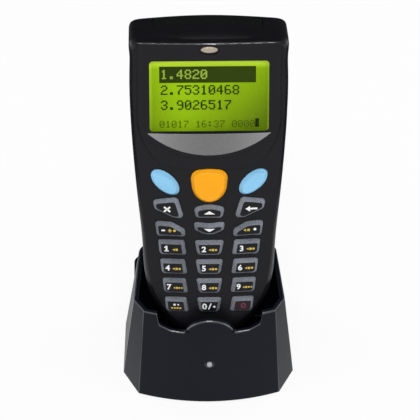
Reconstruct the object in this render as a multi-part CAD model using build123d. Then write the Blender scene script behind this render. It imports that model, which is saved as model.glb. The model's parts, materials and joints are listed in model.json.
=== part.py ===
from build123d import *
import os
from math import asin, cos, degrees, hypot, radians, sin, sqrt

# Portable data terminal standing in its desk cradle.
# Millimetres, +Z up, +X to the right of someone facing the keypad, who looks along +Y.
# The origin is on the desk, under the middle of the cradle and the terminal that stands in it.
#
# The terminal is modelled upright in a frame of its own: x across, y the depth behind its face,
# z the height above its reference end. `docked` leans it back and sets it in the cradle.

# ---- terminal: outline of the housing, as half widths at heights along it ----
tip_half_width = 10.5
tip_z = 5.2
toe_half_width = 17.5
toe_z = 12.4
heel_half_width = 22.9
heel_z = 25.5
grip_half_width = 24.1
grip_z = 40.0
waist_half_width = 25.5
waist_z = 56.0
chest_half_width = 27.1
chest_z = 75.0
head_half_width = 28.1
shoulder_z = 95.0
cheek_z = 106.0
bottom_z = 2.0
face_top_z = 118.7
brow_rise = 2.2
brow_depth = 12.0
temple_drop = 7.0
crown_corner_in = 0.3
crown_corner_drop = 2.5
crown_shoulder_in = 5.0
crown_shoulder_drop = 1.1

# ---- terminal: depths, rounding and walls ----
wall = 2.0
parting_depth = 11.0
grip_depth = 26.0
head_depth = 30.6
keypad_face_depth = 1.0
keypad_crown_radius = 120.0
front_round_width = 7.0
front_round_depth = 7.0
back_round_width = 7.0
back_round_depth = 7.0
head_round_width = 4.8
head_round_depth = 7.0
head_step_z = 83.0
round_steps = 4
outline_spans = 10
tool_reach = 100.0

# ---- terminal: raised visor round the display ----
visor_crown_radius = 220.0
visor_half_width = 25.2
visor_round = 0.5
ledge_half_width = 25.7
ledge_drop = 0.7
ledge_round = 0.6
visor_root_depth = 8.0
visor_side_z = 88.0
visor_arc = ((22.6, 83.2), (12.5, 77.6), (0.0, 75.6))
ledge_side_z = 89.0
ledge_arc = ((22.3, 78.8), (17.3, 73.3), (8.2, 70.9), (0.0, 70.7))

# ---- terminal: display ----
display_width = 42.2
display_height = 26.4
display_corner = 1.2
display_below_top = 20.2
bezel_margin = 1.7
bezel_depth = 1.3
bezel_rise = 0.5
window_overlap = 1.6
window_thickness = 1.2
window_wall = 0.75
panel_margin = 0.9
panel_thickness = 1.8
stack_gap = 0.2
crescent_chord = 44.2
crescent_sagitta = 8.2
crescent_gap = 0.4
trim_thickness = 0.4
trim_inset = 0.05

# ---- terminal: status light and scan window ----
light_width = 6.0
light_height = 2.3
light_below_top = 2.5
light_recess_margin = 0.7
light_recess_depth = 0.4
light_fit = 0.06
scan_width = 39.3
scan_near = 15.8
scan_far = 25.8
scan_pane = 1.1
scan_recess = 0.15
scan_ledge = 1.3
scan_fit = 0.15
engine_width = 30.0
engine_height = 13.0
engine_gap = 0.4
lens_radius = 4.0
lens_length = 1.4

# ---- terminal: circuit board and what stands on it ----
board_depth = 6.5
board_thickness = 1.6
board_inset = 3.4
boss_radius = 2.3
boss_clearance = 0.4
screw_radius = 1.0
screw_head_radius = 2.1
screw_head_height = 1.6
screw_seat_depth = 15.0
screw_tip_depth = 6.9
screw_fit = 0.05
pilot_gap = 0.5
counterbore_gap = 0.3
counterbore_wall = 1.0
upper_screw = (22.6, 78.5)
lower_screw = (11.5, 12.0)
chip_places = ((0.0, 95.0, 14.0, 14.0, 1.4), (-15.0, 95.0, 8.0, 10.0, 1.2), (15.0, 95.0, 8.0, 10.0, 1.2),
               (0.0, 20.0, 12.0, 8.0, 1.6))
buzzer_place = (13.0, 22.5)
buzzer_radius = 4.0
buzzer_height = 2.4
buzzer_port_radius = 0.8
backup_place = (-13.5, 22.5)
backup_radius = 4.75
backup_height = 2.1
seal_inset = 0.6
seal_width = 0.8
seal_height = 0.8
seat_fit = 0.05

# ---- terminal: keys ----
key_height = 1.8
key_slope_run = 1.1
key_hole_gap = 0.15
key_stem_inset = 0.15
key_flange_lip = 0.15
key_flange_depth = 3.95
key_flange_thickness = 0.65
key_relief_gap = 0.25
key_nub_radius = 1.2
key_rest_gap = 0.2
key_travel = 0.8
key_pitch = 7.53
first_row_z = 40.75
middle_width = 10.6
side_width = 10.4
side_centre = 13.36
row_width_step = 0.52
row_centre_step = 0.5
number_key_height = 5.8
middle_taper = 1.05
side_taper = 0.9
outer_taper = 0.6
small_corner = 0.8
large_corner = 1.6
mat_thickness = 0.7
board_gap = 0.1
mat_inset = 5.2
mat_bottom_z = 15.2
mat_top_z = 73.0
mat_hole_gap = 0.5
blue_centre = (15.75, 65.9)
blue_semi_axes = (6.1, 3.4)
blue_tilt = 41.0
scan_key_centre_z = 65.0

# ---- terminal: batteries and their cover ----
cell_radius = 5.25
cell_length = 43.5
cell_nub_radius = 1.9
cell_nub_length = 1.0
cell_gap = 0.5
bay_wall = 1.2
bay_end_gap = 1.0
cover_half_width = 15.0
cover_thickness = 1.8
cover_gap = 0.3
hinge_z = 34.5
hinge_radius = 1.4
trunnion_radius = 1.0
trunnion_length = 1.6
trunnion_fit = 0.08
socket_wall = 1.3
cover_length = 46.6
grip_groove_width = 14.0
grip_groove_depth = 0.5
grip_groove_pitch = 1.5
grip_groove_count = 4
cover_cell_gap = 0.2
contact_thickness = 0.35

# ---- docking ----
lean_angle = 18.0
seat_y = -29.92
seat_z = 22.0
seat_gap = 0.3
back_gap = 0.5
pad_radius = 1.4
pad_offset = 4.0
pad_depth = 14.0
pad_length = 2.6

# ---- cradle ----
cradle_wall = 1.8
cradle_bottom_z = 0.8
rim_front_z = 40.3
rim_rear_z = 42.3
loft_top_z = 48.0
base_corner = (26.2, -30.42)
base_facet = (31.9, -18.92)
base_rear = (31.0, 12.08)
base_bulge = 4.8
rim_corner = (24.05, -28.32)
rim_facet = (27.6, -22.32)
rim_rear = (25.4, 7.58)
rim_bulge = 4.0
rear_corner_radius = 5.0
lip_half_width = 19.05
lip_step_x = 18.35
lip_step_z = 35.5
lip_dip_x = 14.2
lip_dip_z = 33.5
lip_valley_x = 9.3
lip_valley_z = 33.2
lip_arch_z = 38.9
lip_corner = 0.8
bustle_half_width = 27.5
bustle_rear_y = 24.58
bustle_top_z = 21.0
bustle_corner = 4.0
plate_thickness = 2.0
plate_gap = 0.2
foot_radius = 4.5
foot_thickness = 1.8
foot_front = (22.0, -23.42)
foot_rear = (18.5, 7.08)
post_radius = 2.75
post_front = (20.5, -13.92)
post_rear = (20.0, 17.58)
base_screw_radius = 1.25
base_screw_head_radius = 2.3
base_screw_head_height = 1.2
base_screw_length = 8.0
recess_reach = 1.2
recess_half_width = 0.3
recess_depth = 0.6
cradle_board_z = 4.5
cradle_board_thickness = 1.6
cradle_board_half_width = 24.0
cradle_board_front_y = -25.42
cradle_board_rear_y = 21.08
led_radius = 1.0
led_ring_radius = 1.5
led_ring_depth = 0.3
led_z = 18.8
led_proud = 0.35
led_fit = 0.06
led_reach = 6.0
jack_x = -11.0
jack_width = 9.0
jack_height = 11.0
jack_depth = 13.0
jack_collar_radius = 4.0
jack_bore_radius = 3.15
jack_bore_depth = 9.0
jack_pin_radius = 1.0
port_x = 8.0
port_width = 15.9
port_height = 12.5
port_depth = 15.0
port_mouth_width = 11.7
port_mouth_height = 7.0
port_mouth_depth = 11.0
port_latch_height = 1.6
port_fit = 0.25
contact_block_width = 16.0
contact_block_depth = 9.0
contact_block_length = 7.0
contact_block_flange = 1.5
contact_flange_thickness = 1.6
pin_radius = 0.6
pin_fit = 0.06
pin_collar_radius = 1.0
pin_collar_length = 0.6
pin_stem_length = 3.0
spring_squeezed_length = 1.2
pin_travel = 0.8
pin_gap = 0.1
spring_wire = 0.15
spring_turns = 4.0

os.makedirs("parts", exist_ok=True)

docked = Pos(0, seat_y, seat_z) * Rot(-lean_angle, 0, 0)
top_z = face_top_z + brow_rise
display_z = face_top_z - display_below_top
light_z = face_top_z - light_below_top


# ---------------------------------------------------------------- helpers
def slab(sketch, near, far):
    """Extrude a sketch drawn in x and z from one depth to another."""
    return Pos(0, near, 0) * extrude(Plane.XZ * sketch, far - near, dir=(0, 1, 0))


def block(x_low, x_high, y_low, y_high, z_low, z_high):
    centre = Pos((x_low + x_high) / 2, (y_low + y_high) / 2, (z_low + z_high) / 2)
    return centre * Box(x_high - x_low, y_high - y_low, z_high - z_low)


def rod(x, z, radius, near, far):
    """A cylinder along the depth."""
    return slab(Pos(x, z) * Circle(radius), near, far)


def post(x, y, radius, low, high):
    """A vertical cylinder."""
    return Pos(x, y, (low + high) / 2) * Cylinder(radius, high - low)


def both_sides(shape):
    return shape + mirror(shape, Plane.YZ)


def crown(radius, apex):
    """A long upright cylinder whose nearest line lies at the depth `apex`."""
    return Pos(0, apex + radius, top_z / 2) * Cylinder(radius, top_z + tool_reach)


def inset_points(points, distance):
    """Move each side of a clockwise or anticlockwise polygon inwards by a distance."""
    count = len(points)
    area = sum(points[i - 1][0] * points[i][1] - points[i][0] * points[i - 1][1] for i in range(count))
    turn = 1 if area > 0 else -1
    moved = []
    for i in range(count):
        before, here, after = points[i - 1], points[i], points[(i + 1) % count]
        ax, ay = here[0] - before[0], here[1] - before[1]
        bx, by = after[0] - here[0], after[1] - here[1]
        a_length, b_length = hypot(ax, ay), hypot(bx, by)
        anx, any_ = -ay / a_length * turn, ax / a_length * turn
        bnx, bny = -by / b_length * turn, bx / b_length * turn
        scale = distance / (1 + anx * bnx + any_ * bny)
        moved.append((here[0] + (anx + bnx) * scale, here[1] + (any_ + bny) * scale))
    return moved


def rounded_polygon(points, radii):
    """A polygon whose corners have their own radii, in the order of its points."""
    shape = make_face(Polyline(*points, close=True))
    for (x, y), radius in zip(points, radii):
        corner = shape.vertices().sort_by_distance((x, y, 0))[0]
        shape = fillet(corner, radius)
    return shape


# ---------------------------------------------------------------- terminal body
def body_outline(inset, top):
    """The housing's outline, drawn in towards its centre by an inset."""
    right = [
        (0, bottom_z),
        (tip_half_width, tip_z),
        (toe_half_width, toe_z),
        (heel_half_width, heel_z),
        (grip_half_width, grip_z),
        (waist_half_width, waist_z),
        (chest_half_width, chest_z),
        (head_half_width, shoulder_z),
        (head_half_width, cheek_z),
        (head_half_width, top - temple_drop),
        (head_half_width - crown_corner_in, top - crown_corner_drop),
        (head_half_width - crown_shoulder_in, top - crown_shoulder_drop),
        (0, top),
    ]
    across = (head_half_width - inset) / head_half_width
    along = (top - bottom_z - 2 * inset) / (top - bottom_z)
    right = [(x * across, bottom_z + inset + (z - bottom_z) * along) for x, z in right]
    left = [(-x, z) for x, z in reversed(right[1:-1])]
    loop = Spline(*right, *left, periodic=True).edges()[0]
    spans = [loop.trim(span / outline_spans, (span + 1) / outline_spans) for span in range(outline_spans)]
    return Face(Wire(spans))


def top_at(depth):
    return face_top_z + brow_rise * min(depth / brow_depth, 1)


def body_section(depth, inset):
    return Plane.XZ.offset(-depth) * body_outline(inset, top_at(depth))


def quarter_round(width, depth):
    """Pairs of inset and distance from the start, along a quarter of an ellipse."""
    angles = [radians(90 * step / round_steps) for step in range(round_steps + 1)]
    return [(width * (1 - sin(angle)), depth * (1 - cos(angle))) for angle in angles]


def front_stack(near, far, inset):
    """The front of the housing, from its rounded face back to a depth."""
    rounding = [body_section(near + along, inset + side) for side, along in
                quarter_round(front_round_width, front_round_depth)]
    straight = [rounding[-1], body_section(far, inset)]
    return loft(rounding) + loft(straight, ruled=True)


def back_stack(near, far, width, depth, inset):
    """The back of the housing, from a depth to its rounded back."""
    rounding = [body_section(far - along, inset + side) for side, along in quarter_round(width, depth)]
    straight = [body_section(near, inset), rounding[-1]]
    return loft(rounding) + loft(straight, ruled=True)


def u_shape(side, side_z, arc, top):
    """A shield outline: straight sides above a curved lower edge."""
    lower = Spline((side, side_z), *arc, tangents=[(-0.1, -1), (-1, 0)])
    edges = lower + Line((side, side_z), (side, top)) + Line((side, top), (0, top)) + Line((0, top), arc[-1])
    return both_sides(make_face(edges))


def raised_plate(outline, radius, apex, rounding):
    """A crowned plate that stands on the housing's face, with its front edge rounded."""
    plate = (slab(outline, 0, visor_root_depth) & crown(radius, apex)).solids()[0]
    rim = [edge for edge in plate.edges() if edge.center().Y < visor_root_depth / 2 and edge.length > wall]
    return fillet(rim, rounding)


def visor():
    plate_outline = u_shape(visor_half_width, visor_side_z, visor_arc, face_top_z)
    ledge_outline = u_shape(ledge_half_width, ledge_side_z, ledge_arc, face_top_z)
    plate = raised_plate(plate_outline, visor_crown_radius, 0, visor_round)
    ledge = raised_plate(ledge_outline, visor_crown_radius, ledge_drop, ledge_round)
    return plate + ledge


def front_outer():
    shell = front_stack(keypad_face_depth, parting_depth, 0) & crown(keypad_crown_radius, keypad_face_depth)
    return shell + visor()


def front_cavity():
    """The hollow of the front housing, which its screw bosses stand in."""
    near = keypad_face_depth + wall
    hollow = front_stack(near, parting_depth + wall, wall) & crown(keypad_crown_radius, near)
    return hollow - [rod(x, z, boss_radius, 0, parting_depth + wall) for x, z in screw_places()]


def rear_form(inset):
    """The rear housing's form: a shallow grip below a deeper head, joined at a sloped step."""
    near = parting_depth
    grip = back_stack(near, grip_depth - inset, back_round_width, back_round_depth, inset)
    head = back_stack(near, head_depth - inset, head_round_width, head_round_depth, inset)
    split = head_step_z + inset
    below = block(-tool_reach, tool_reach, 0, tool_reach, -tool_reach, split)
    above = block(-tool_reach, tool_reach, 0, tool_reach, split, 2 * tool_reach)
    step = head_depth - grip_depth
    outside = head_depth + wall
    ramp = Polyline((grip_depth - inset, split - wall), (outside, split - wall),
                    (outside, split + step + wall + inset), (grip_depth - inset, split), close=True)
    wedge = extrude(Plane.YZ * make_face(ramp), tool_reach, both=True)
    return (grip & below) + ((head & above) - wedge)


# ---------------------------------------------------------------- display
def rectangle(width, height, z, corner):
    return Pos(0, z) * RectangleRounded(width, height, corner)


def display_bay():
    """Room behind the front wall for the window, panel and holder."""
    width = display_width + 2 * (window_overlap + stack_gap)
    height = display_height + 2 * (window_overlap + stack_gap)
    return slab(rectangle(width, height, display_z, display_corner), bezel_depth + window_wall, board_depth)


def window_depth():
    return bezel_depth + window_wall + seat_fit


def display_window():
    width = display_width + 2 * window_overlap
    height = display_height + 2 * window_overlap
    near = window_depth()
    return slab(rectangle(width, height, display_z, display_corner), near, near + window_thickness)


def display_panel():
    width = display_width + 2 * panel_margin
    height = display_height + 2 * panel_margin
    near = window_depth() + window_thickness + stack_gap
    return slab(rectangle(width, height, display_z, display_corner), near, near + panel_thickness)


def display_holder():
    width = display_width + 2 * window_overlap
    height = display_height + 2 * window_overlap
    near = window_depth() + window_thickness + stack_gap + panel_thickness
    return slab(rectangle(width, height, display_z, display_corner), near, board_depth)


def crescent(inset):
    """A circular segment with its chord just under the display."""
    half = crescent_chord / 2
    top = display_z - display_height / 2 - crescent_gap
    chord = Line((half, top), (-half, top))
    bow = ThreePointArc((-half, top), (0, top - crescent_sagitta), (half, top))
    face = make_face(Curve() + [chord, bow])
    return offset(face, -inset) if inset else face


def crescent_trim():
    skin = slab(crescent(trim_inset), -wall, wall) & crown(visor_crown_radius, 0)
    return skin - crown(visor_crown_radius - trim_thickness, trim_thickness)


def crescent_recess():
    floor = trim_thickness + seat_fit
    return slab(crescent(0), -wall, wall) - crown(visor_crown_radius - floor, floor)


def light_slot(margin):
    return Pos(0, light_z) * Ellipse(light_width / 2 + margin, light_height / 2 + margin)


def status_light():
    return slab(light_slot(0), -light_fit, board_depth - stack_gap)


# ---------------------------------------------------------------- keys
def mirrored(points):
    return [(-x, y) for x, y in points]


def number_keys():
    """Name, corner points about the key's centre, corner radii and centre, for the number rows."""
    names = (("key_1", "key_2", "key_3"), ("key_4", "key_5", "key_6"),
             ("key_7", "key_8", "key_9"), ("key_function", "key_0", "key_power"))
    half = number_key_height / 2
    keys = []
    for row, (left, middle, right) in enumerate(names):
        z = first_row_z - row * key_pitch
        wide = (middle_width - row * row_width_step) / 2
        side = (side_width - row * row_width_step) / 2
        reach = side_centre - row * row_centre_step
        trapezoid = [(-wide, half), (wide, half), (wide - middle_taper, -half), (middle_taper - wide, -half)]
        leaning = [(-side, half), (side - side_taper, half), (side, -half), (outer_taper - side, -half)]
        radii = [small_corner, small_corner, small_corner, large_corner]
        keys.append((left, leaning, radii, (-reach, z)))
        keys.append((middle, trapezoid, [small_corner, small_corner, large_corner, large_corner], (0, z)))
        keys.append((right, mirrored(leaning), radii, (reach, z)))
    return keys


def control_keys():
    """The same for the arrow, sign, escape and backspace keys."""
    escape = [(-5.9, 2.9), (3.1, 4.2), (5.6, -4.1), (1.6, -3.75), (-5.2, -0.5)]
    sign = [(-5.6, 3.3), (0.6, 3.0), (5.3, 0.3), (5.4, -2.6), (-4.9, -2.4)]
    rise = [(-5.7, 1.8), (0, 2.9), (5.7, 1.8), (4.7, -2.4), (-4.7, -2.4)]
    fall = [(-5.6, 2.7), (0, 2.0), (5.6, 2.7), (5.2, -0.5), (0, -3.0), (-5.2, -0.5)]
    escape_radii = [1.4, 1.6, 1.4, 4.0, 1.8]
    sign_radii = [1.2, 4.5, 1.4, 1.0, 1.2]
    rise_radii = [1.6, 9.0, 1.6, 1.4, 1.4]
    fall_radii = [0.9, 9.0, 0.9, 1.2, 6.0, 1.2]
    above = first_row_z + key_pitch
    return [
        ("key_escape", escape, escape_radii, (-14.5, above + 7.8)),
        ("key_backspace", mirrored(escape), escape_radii, (14.5, above + 7.8)),
        ("key_minus", sign, sign_radii, (-14.0, above - 0.7)),
        ("key_symbol", mirrored(sign), sign_radii, (14.0, above - 0.7)),
        ("key_up", rise, rise_radii, (0, above + 6.5)),
        ("key_down", fall, fall_radii, (0, above - 0.1)),
    ]


def polygon_outline(points, radii):
    """A function that gives the key's outline, drawn in by a distance."""
    def outline(inset):
        return rounded_polygon(inset_points(points, inset), [max(radius - inset / 2, 0.3) for radius in radii])
    return outline


def scan_key_outline(inset):
    points = [(-6.9, 5.6), (0, 6.35), (6.9, 5.6), (5.9, -3.4), (0, -8.2), (-5.9, -3.4)]
    radii = [radius - inset for radius in (3.4, 12.0, 3.4, 7.0, 5.5, 7.0)]
    return rounded_polygon(inset_points(points, inset), radii)


def blue_key_outline(side):
    def outline(inset):
        along, across = blue_semi_axes
        return Rot(0, 0, side * blue_tilt) * Ellipse(along - inset, across - inset)
    return outline


def all_keys():
    """Every key as a name, an outline function and a centre."""
    keys = [(name, polygon_outline(points, radii), centre) for name, points, radii, centre in
            number_keys() + control_keys()]
    keys.append(("key_scan", scan_key_outline, (0, scan_key_centre_z)))
    keys.append(("key_left", blue_key_outline(-1), (-blue_centre[0], blue_centre[1])))
    keys.append(("key_right", blue_key_outline(1), blue_centre))
    return keys


def face_depth(x):
    """Depth of the crowned keypad face at a distance from its middle."""
    return keypad_face_depth + keypad_crown_radius - sqrt(keypad_crown_radius**2 - x**2)


def key_hole(outline, centre):
    """The hole through the wall, with a wider relief behind it for the key's flange."""
    relief = key_hole_gap + key_flange_lip + key_relief_gap
    near = key_flange_depth - seat_fit
    hole = slab(Pos(*centre) * outline(-key_hole_gap), -wall, near)
    return [hole, slab(Pos(*centre) * outline(-relief), near, board_depth)]


def key_solid(outline, centre):
    """A sloped cap above the face, a stem through the wall, a flange under it and a switch nub."""
    x, z = centre
    face = face_depth(x)
    tilt = degrees(asin(x / keypad_crown_radius))
    cap = loft([Plane.XZ * outline(0), Plane.XZ.offset(key_height) * outline(key_slope_run)], ruled=True)
    cap = Pos(x, face, z) * Rot(0, 0, tilt) * cap
    stem = slab(Pos(x, z) * outline(key_stem_inset), face - key_stem_inset, key_flange_depth)
    flange_end = key_flange_depth + key_flange_thickness
    flange = slab(Pos(x, z) * outline(-key_hole_gap - key_flange_lip), key_flange_depth, flange_end)
    nub = rod(x, z, key_nub_radius, flange_end, board_depth - key_travel - key_rest_gap)
    return cap + stem + flange + nub


def keypad_mat(centres):
    far = board_depth - board_gap
    near = far - mat_thickness
    band = block(-tool_reach, tool_reach, near, far, mat_bottom_z, mat_top_z)
    sheet = slab(body_outline(mat_inset, top_z), near, far) & band
    return sheet - [rod(x, z, key_nub_radius + mat_hole_gap, 0, parting_depth) for x, z in centres]


# ---------------------------------------------------------------- housings
def screw_places():
    return [(side * x, z) for side in (-1, 1) for x, z in (upper_screw, lower_screw)]


def seal_ring(inset, width, height):
    near = parting_depth - height / 2
    far = parting_depth + height / 2
    outer = body_outline(inset, top_at(parting_depth))
    inner = body_outline(inset + width, top_at(parting_depth))
    return slab(outer, near, far) - slab(inner, near, far)


def seal_groove():
    return seal_ring(seal_inset - seat_fit, seal_width + 2 * seat_fit, seal_height + 2 * seat_fit)


def front_housing(keys):
    bezel_width = display_width + 2 * bezel_margin
    bezel = rectangle(bezel_width, display_height + 2 * bezel_rise, display_z, display_corner)
    opening = rectangle(display_width, display_height, display_z, display_corner)
    cuts = [
        front_cavity(),
        display_bay(),
        slab(bezel, -wall, bezel_depth),
        slab(opening, -wall, board_depth),
        crescent_recess(),
        slab(light_slot(light_fit), -wall, board_depth),
        slab(light_slot(light_recess_margin), -wall, light_recess_depth),
        seal_groove(),
    ]
    for x, z in screw_places():
        cuts.append(rod(x, z, screw_radius + screw_fit, screw_tip_depth - pilot_gap, parting_depth))
    for _, outline, centre in keys:
        cuts += key_hole(outline, centre)
    return front_outer() - cuts


def scan_strip(margin, near_shift, far_shift):
    """A curved strip of the head's end, between two depths below its surface."""
    half = scan_width / 2 + margin
    region = block(-half, half, scan_near - margin, scan_far + margin, cheek_z, tool_reach + top_z)
    form = rear_form(0)
    return (region & (Pos(0, 0, near_shift) * form)) - (Pos(0, 0, far_shift) * form)


def scan_window():
    return scan_strip(-scan_fit, -scan_recess, -scan_recess - scan_pane)


def cell_depth():
    """Depth of the cells' centre lines, just inside the cover."""
    return grip_depth - cover_thickness - cover_cell_gap - cell_radius


def bay_low():
    return hinge_z + hinge_radius + cover_gap


def bay_high():
    return bay_low() + cell_length + 2 * bay_end_gap


def bay_half_width():
    return 2 * cell_radius + 1.5 * cell_gap


def battery_bay():
    """A tray for two cells side by side, open towards the cover."""
    half = bay_half_width()
    near = cell_depth() - cell_radius - cell_gap / 2
    tray = block(-half - bay_wall, half + bay_wall, near - bay_wall, grip_depth - cover_thickness,
                 bay_low() - bay_wall, bay_high() + bay_wall)
    return tray, block(-half, half, near, grip_depth + wall, bay_low(), bay_high())


def hinge_depth():
    return grip_depth - hinge_radius


def hinge_socket(side):
    start = cover_half_width + cover_gap
    end = start + trunnion_length + socket_wall
    reach = trunnion_radius + socket_wall
    low, high = sorted((side * start, side * end))
    return block(low, high, hinge_depth() - reach, grip_depth - seat_fit, hinge_z - reach, hinge_z + reach)


def cross_rod(radius, x_low, x_high):
    """A cylinder along x, on the cover's hinge line."""
    centre = Pos((x_low + x_high) / 2, hinge_depth(), hinge_z)
    return centre * Rot(0, 90, 0) * Cylinder(radius, x_high - x_low)


def cover_opening():
    half = cover_half_width + cover_gap
    low = hinge_z - hinge_radius - cover_gap
    high = hinge_z + cover_length + cover_gap
    near = grip_depth - cover_thickness - 2 * seat_fit
    plate = block(-half, half, near, grip_depth + wall, low, high)
    knuckle = block(-half, half, hinge_depth() - hinge_radius - cover_gap, grip_depth + wall, low,
                    hinge_z + hinge_radius + cover_gap)
    return plate + knuckle


def battery_cover():
    half = cover_half_width
    plate = block(-half, half, grip_depth - cover_thickness, grip_depth, hinge_z, hinge_z + cover_length)
    cover = plate + cross_rod(hinge_radius, -half, half)
    cover += cross_rod(trunnion_radius, -half - trunnion_length, half + trunnion_length)
    groove_z = hinge_z + cover_length - grip_groove_width / 2
    for step in range(grip_groove_count):
        groove = Pos(0, grip_depth, groove_z + step * grip_groove_pitch) * Rot(0, 90, 0)
        cover -= groove * Cylinder(grip_groove_depth, grip_groove_width)
    return cover


def rear_cavity():
    """The hollow of the rear housing, round its battery tray, hinge sockets and screw columns."""
    tray, _ = battery_bay()
    kept = [tray, hinge_socket(-1), hinge_socket(1)]
    column = screw_head_radius + counterbore_gap + counterbore_wall
    for x, z in screw_places():
        kept.append(rod(x, z, column, parting_depth, head_depth))
    return rear_form(wall) - kept


def rear_housing():
    _, cells = battery_bay()
    reach = cover_half_width + cover_gap + trunnion_length
    scan_half = scan_width / 2 - scan_ledge
    cuts = [
        rear_cavity(),
        cells,
        cover_opening(),
        cross_rod(trunnion_radius + trunnion_fit, -reach, reach),
        scan_strip(0, 0, -scan_ledge),
        block(-scan_half, scan_half, scan_near + scan_ledge, scan_far - scan_ledge, cheek_z, top_z + wall),
        seal_groove(),
    ]
    for x, z in screw_places():
        cuts.append(rod(x, z, screw_head_radius + counterbore_gap, screw_seat_depth, head_depth + wall))
        cuts.append(rod(x, z, screw_radius + counterbore_gap / 2, parting_depth, screw_seat_depth))
    pad_hole = pad_radius + seat_fit
    for side in (-1, 1):
        cuts.append(post(side * pad_offset, pad_depth, pad_hole, bottom_z - wall, bottom_z + 2 * wall))
    return rear_form(0) - cuts


def housing_screws():
    screws = Part()
    for x, z in screw_places():
        shank = rod(x, z, screw_radius, screw_tip_depth, screw_seat_depth)
        head = rod(x, z, screw_head_radius, screw_seat_depth, screw_seat_depth + screw_head_height)
        slot_near = screw_seat_depth + screw_head_height / 2
        slot = slab(Pos(x, z) * Rectangle(screw_radius * 2, screw_radius / 2), slot_near, grip_depth)
        cross = slab(Pos(x, z) * Rectangle(screw_radius / 2, screw_radius * 2), slot_near, grip_depth)
        screws += shank + head - slot - cross
    return screws


# ---------------------------------------------------------------- inside the terminal
def main_board():
    board = slab(body_outline(board_inset, top_at(board_depth)), board_depth, board_depth + board_thickness)
    for x, z in screw_places():
        board -= rod(x, z, boss_radius + boss_clearance, 0, parting_depth)
    return board


def board_back():
    return board_depth + board_thickness


def board_chips():
    """Processor, memory and driver chips on the back of the board."""
    low = board_back()
    chips = Part()
    for x, z, width, height, thickness in chip_places:
        chips += block(x - width / 2, x + width / 2, low, low + thickness, z - height / 2, z + height / 2)
    return chips


def buzzer():
    x, z = buzzer_place
    body = rod(x, z, buzzer_radius, board_back(), board_back() + buzzer_height)
    port = rod(x, z, buzzer_port_radius, board_back() + buzzer_height / 2, board_back() + 2 * buzzer_height)
    return body - port


def backup_cell():
    x, z = backup_place
    return rod(x, z, backup_radius, board_back(), board_back() + backup_height)


def scan_engine():
    far = scan_far - scan_ledge
    top = top_z - wall - engine_gap - lens_length
    body = block(-engine_width / 2, engine_width / 2, scan_near, far, top - engine_height, top)
    foot = block(-engine_width / 2, engine_width / 2, board_back() + seat_fit, scan_near,
                 top - engine_height, top - engine_height + wall)
    seat = post(0, (scan_near + far) / 2, lens_radius + seat_fit, top - lens_length, top)
    return body + foot - seat


def scan_lens():
    middle = (scan_near + scan_far - scan_ledge) / 2
    top = top_z - wall - engine_gap - lens_length
    barrel = post(0, middle, lens_radius, top - lens_length, top + lens_length / 2)
    dome_radius = lens_radius * 2
    return barrel & (Pos(0, middle, top + lens_length / 2 - dome_radius) * Sphere(dome_radius))


def battery_cells():
    cells = Part()
    low = bay_low() + bay_end_gap
    for side in (-1, 1):
        x = side * (cell_radius + cell_gap / 4)
        can = post(x, cell_depth(), cell_radius, low, low + cell_length - cell_nub_length)
        nub = post(x, cell_depth(), cell_nub_radius, low, low + cell_length)
        cells += can + nub
    return cells


def battery_contacts():
    """A bent leaf at the foot of each cell and a flat plate at its head."""
    contacts = Part()
    low, high = bay_low(), bay_high()
    thick = contact_thickness
    for side in (-1, 1):
        x = side * (cell_radius + cell_gap / 4)
        half = cell_nub_radius
        middle = cell_depth()
        tip = low + bay_end_gap - seat_fit
        leaf = Polyline((middle - half, low), (middle - half, low + thick), (middle, tip),
                        (middle + half, low + thick), (middle + half, low), close=True)
        contacts += Pos(x - half, 0, 0) * extrude(Plane.YZ * make_face(leaf), 2 * half)
        contacts += block(x - half, x + half, middle - half, middle + half, high - thick, high)
    return contacts


def contact_pads():
    pads = Part()
    for side in (-1, 1):
        pads += post(side * pad_offset, pad_depth, pad_radius, bottom_z, bottom_z + pad_length)
    return pads


# ---------------------------------------------------------------- cradle
def blend_pair(low, high, share):
    return tuple(a + (b - a) * share for a, b in zip(low, high))


def cradle_plan(z):
    """The cradle's outline at a height: a bowed front, two facets, sides and a rounded rear."""
    share = z / rim_front_z
    cx, cy = blend_pair(base_corner, rim_corner, share)
    fx, fy = blend_pair(base_facet, rim_facet, share)
    rx, ry = blend_pair(base_rear, rim_rear, share)
    bulge = base_bulge + (rim_bulge - base_bulge) * share
    bow = ThreePointArc((-cx, cy), (0, cy - bulge), (cx, cy))
    rest = Polyline((cx, cy), (fx, fy), (rx, ry), (-rx, ry), (-fx, fy), (-cx, cy))
    plan = make_face(Curve() + [bow, rest])
    corners = plan.vertices().sort_by(Axis.Y)[-2:]
    return fillet(corners, rear_corner_radius)


def cradle_form(inset):
    low = cradle_plan(cradle_bottom_z)
    high = cradle_plan(loft_top_z)
    if inset:
        low = offset(low, -inset)
        high = offset(high, -inset)
    return loft([Pos(0, 0, cradle_bottom_z) * low, Pos(0, 0, loft_top_z) * high], ruled=True)


def bustle_form(inset):
    """A low block behind the cradle that holds the sockets."""
    front = post_front[1]
    rear = bustle_rear_y - inset
    half = bustle_half_width - inset
    plan = Pos(0, (front + rear) / 2) * RectangleRounded(2 * half, rear - front, bustle_corner)
    return Pos(0, 0, cradle_bottom_z) * extrude(plan, bustle_top_z - inset - cradle_bottom_z)


def rim_cut():
    """Everything above the rim, which rises gently to the rear."""
    front, rear = base_corner[1] - base_bulge, rim_rear[1]
    slope = (rim_rear_z - rim_front_z) / (rear - rim_corner[1])
    start = rim_front_z - slope * (rim_corner[1] - front)
    end = rim_rear_z + slope * tool_reach
    side = Polyline((front - wall, start - slope * wall), (rear + tool_reach, end),
                    (rear + tool_reach, tool_reach), (front - wall, tool_reach), close=True)
    return extrude(Plane.YZ * make_face(side), tool_reach, both=True)


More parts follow.
